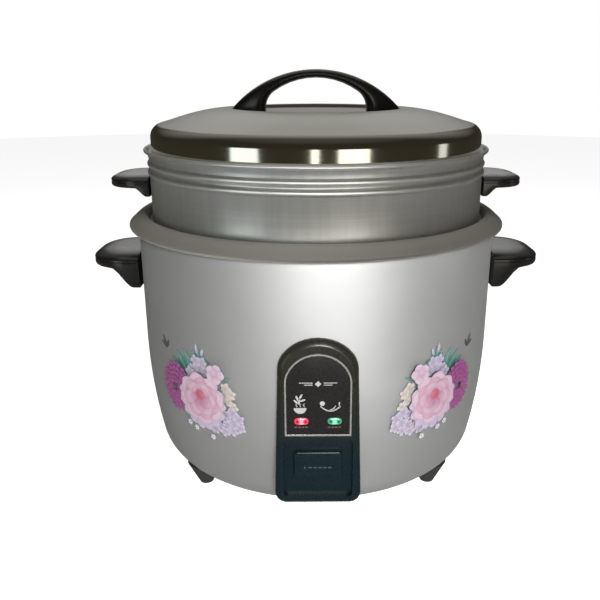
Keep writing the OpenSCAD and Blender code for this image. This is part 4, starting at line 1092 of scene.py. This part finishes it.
# ---- everything else keeps its CAD shape ----


def finish_cad_nodes():
    """Gives each CAD node that still shows the finish of its slot."""
    for node in frame["nodes"].values():
        for slot in node.material_slots:
            kind = slot.material.name.split(".")[0] if slot.material else ""
            slot.material = FINISHES[kind]


# ---- studio ----


def soft_light(name, at, aim, width, height, power, colour=(1, 1, 1), spared=(), only=()):
    """A rectangular lamp. Spared pieces get none of its light; with only, no others get it."""
    data = bpy.data.lights.new(name, "AREA")
    data.shape = "RECTANGLE"
    data.size, data.size_y = width, height
    data.energy = power
    data.color = colour
    lamp = bpy.data.objects.new(name, data)
    lamp.location = at
    lamp.rotation_euler = (Vector(aim) - Vector(at)).to_track_quat("-Z", "Y").to_euler()
    lamp.visible_camera = False
    bpy.context.scene.collection.objects.link(lamp)
    if spared or only:
        group = bpy.data.collections.new(name + "_pieces")
        lamp.light_linking.receiver_collection = group
        for i, made in enumerate(spared or only):
            group.objects.link(bpy.data.objects[made])
            group.collection_objects[i].light_linking.link_state = "EXCLUDE" if spared else "INCLUDE"


class Surround(Finish):
    """The room: an even light on dull surfaces, and its own tones in polished ones."""

    def __init__(self, name):
        world = bpy.data.worlds.new(name)
        bpy.context.scene.world = world
        world.use_nodes = True
        self.tree = world.node_tree
        self.tree.nodes.clear()
        self.place = self.add("ShaderNodeTexCoord", out="Generated")
        ray = self.add("ShaderNodeLightPath", out="Is Glossy Ray")
        seen = self.add("ShaderNodeLightPath", out="Is Camera Ray")
        even_light = self.add("ShaderNodeBackground", {}, {"Color": (1, 1, 1), "Strength": 0.26})
        backdrop = self.add("ShaderNodeBackground", {}, {"Color": (1, 1, 1)})
        mirrored = self.add("ShaderNodeBackground", {}, {"Color": self.room()})
        unseen = self.add("ShaderNodeMixShader", {}, {0: ray, 1: even_light, 2: mirrored})
        shown = self.add("ShaderNodeMixShader", {}, {0: seen, 1: unseen, 2: backdrop})
        self.add("ShaderNodeOutputWorld", {}, {"Surface": shown}, out=None)

    def room(self):
        """Tones by direction: dim ahead of the cooker, pale overhead and behind."""
        rise = self.axis("Z")
        up = rise.work("MAXIMUM", rise, 0)
        down = rise.work("MINIMUM", rise, 0)
        behind = self.axis("Y").above(0.35, 0.6)
        level = 0.5 + 0.5 * down + 0.5 * up * (0.3 + 0.7 * behind)
        stops = ((0.0, (0.25, 0.25, 0.24)), (0.30, (0.11, 0.105, 0.09)), (0.42, (0.045, 0.040, 0.026)),
                 (0.60, (0.035, 0.030, 0.020)), (0.72, (0.16, 0.155, 0.135)), (0.85, (0.30, 0.30, 0.28)),
                 (1.0, (0.42, 0.42, 0.41)))
        return self.add("ShaderNodeValToRGB", {"stops": stops}, {0: level})


FLOOR_R = 4000


def studio():
    """A pale floor, the room, and windows of light for the polished parts."""
    floor = Finish("floor_paper", Roughness=0.9, Emission_Color=(1, 1, 1), Emission_Strength=0.68)
    floor.set(Base_Color=floor.blend(floor.grain(5, 2), (0.90, 0.90, 0.90), (0.94, 0.94, 0.94)))
    edge = [(x, y, 0) for x, y in arc((0, 0), FLOOR_R, 0, 354, 59)]
    ground = mesh_from(edge, [tuple(range(len(edge)))], "floor")
    sheet = bpy.data.objects.new("floor", ground)
    ground.materials.append(floor.material)
    bpy.context.scene.collection.objects.link(sheet)
    sheet.visible_glossy = False
    Surround("surround")
    lid = (0, 0, 0.32)
    hoods = ("drum_handle_left", "drum_handle_right", "pan_handle_left", "pan_handle_right")
    soft_light("overhead", (0, -0.1, 1.5), (0, 0, 0.2), 1.5, 1.2, 3, spared=("lid",))
    soft_light("front_high", (0.13, -1.2, 0.60), (0, 0, 0.2), 0.40, 0.30, 27,
               spared=("lid", "lid_grip", "pot", "steamer") + hoods)
    soft_light("steamer_front", (-0.10, -1.0, 0.34), (0, 0, 0.27), 0.8, 0.5, 2.6, only=("steamer",))
    soft_light("left_window", (-0.52, -0.56, 0.22), lid, 0.24, 0.40, 0.55, (0.90, 1.0, 0.94),
               spared=("drum",))
    soft_light("cream_window", (0.29, -0.74, 0.22), lid, 0.26, 0.40, 0.75, (1.0, 0.95, 0.80),
               spared=("pot",))
    soft_light("narrow_window", (-0.015, -0.80, 0.22), lid, 0.06, 0.40, 0.2, (1.0, 0.92, 0.78),
               spared=("pot",))
    soft_light("right_window", (0.78, -0.10, 0.24), lid, 0.10, 0.34, 0.12, (1, 1, 0.95),
               spared=("steamer",))
    soft_light("back_fill", (0, 1.3, 1.0), (0, 0, 0.15), 1.4, 0.9, 1.5)
    soft_light("hood_sheen", (0, 1.2, 0.75), (0, 0, 0.2), 1.5, 0.8, 2.2, only=hoods)
    bpy.context.scene.view_settings.view_transform = "Standard"


outer_drum()
lift_out_pot()
steamer()
domed_lid()
lid_grip()
handles()
control_panel()
label_and_frame()
lever_paddle()
label_signs()
flower_spray(-1, "flowers_left")
flower_spray(1, "flowers_right")
finish_cad_nodes()
studio()
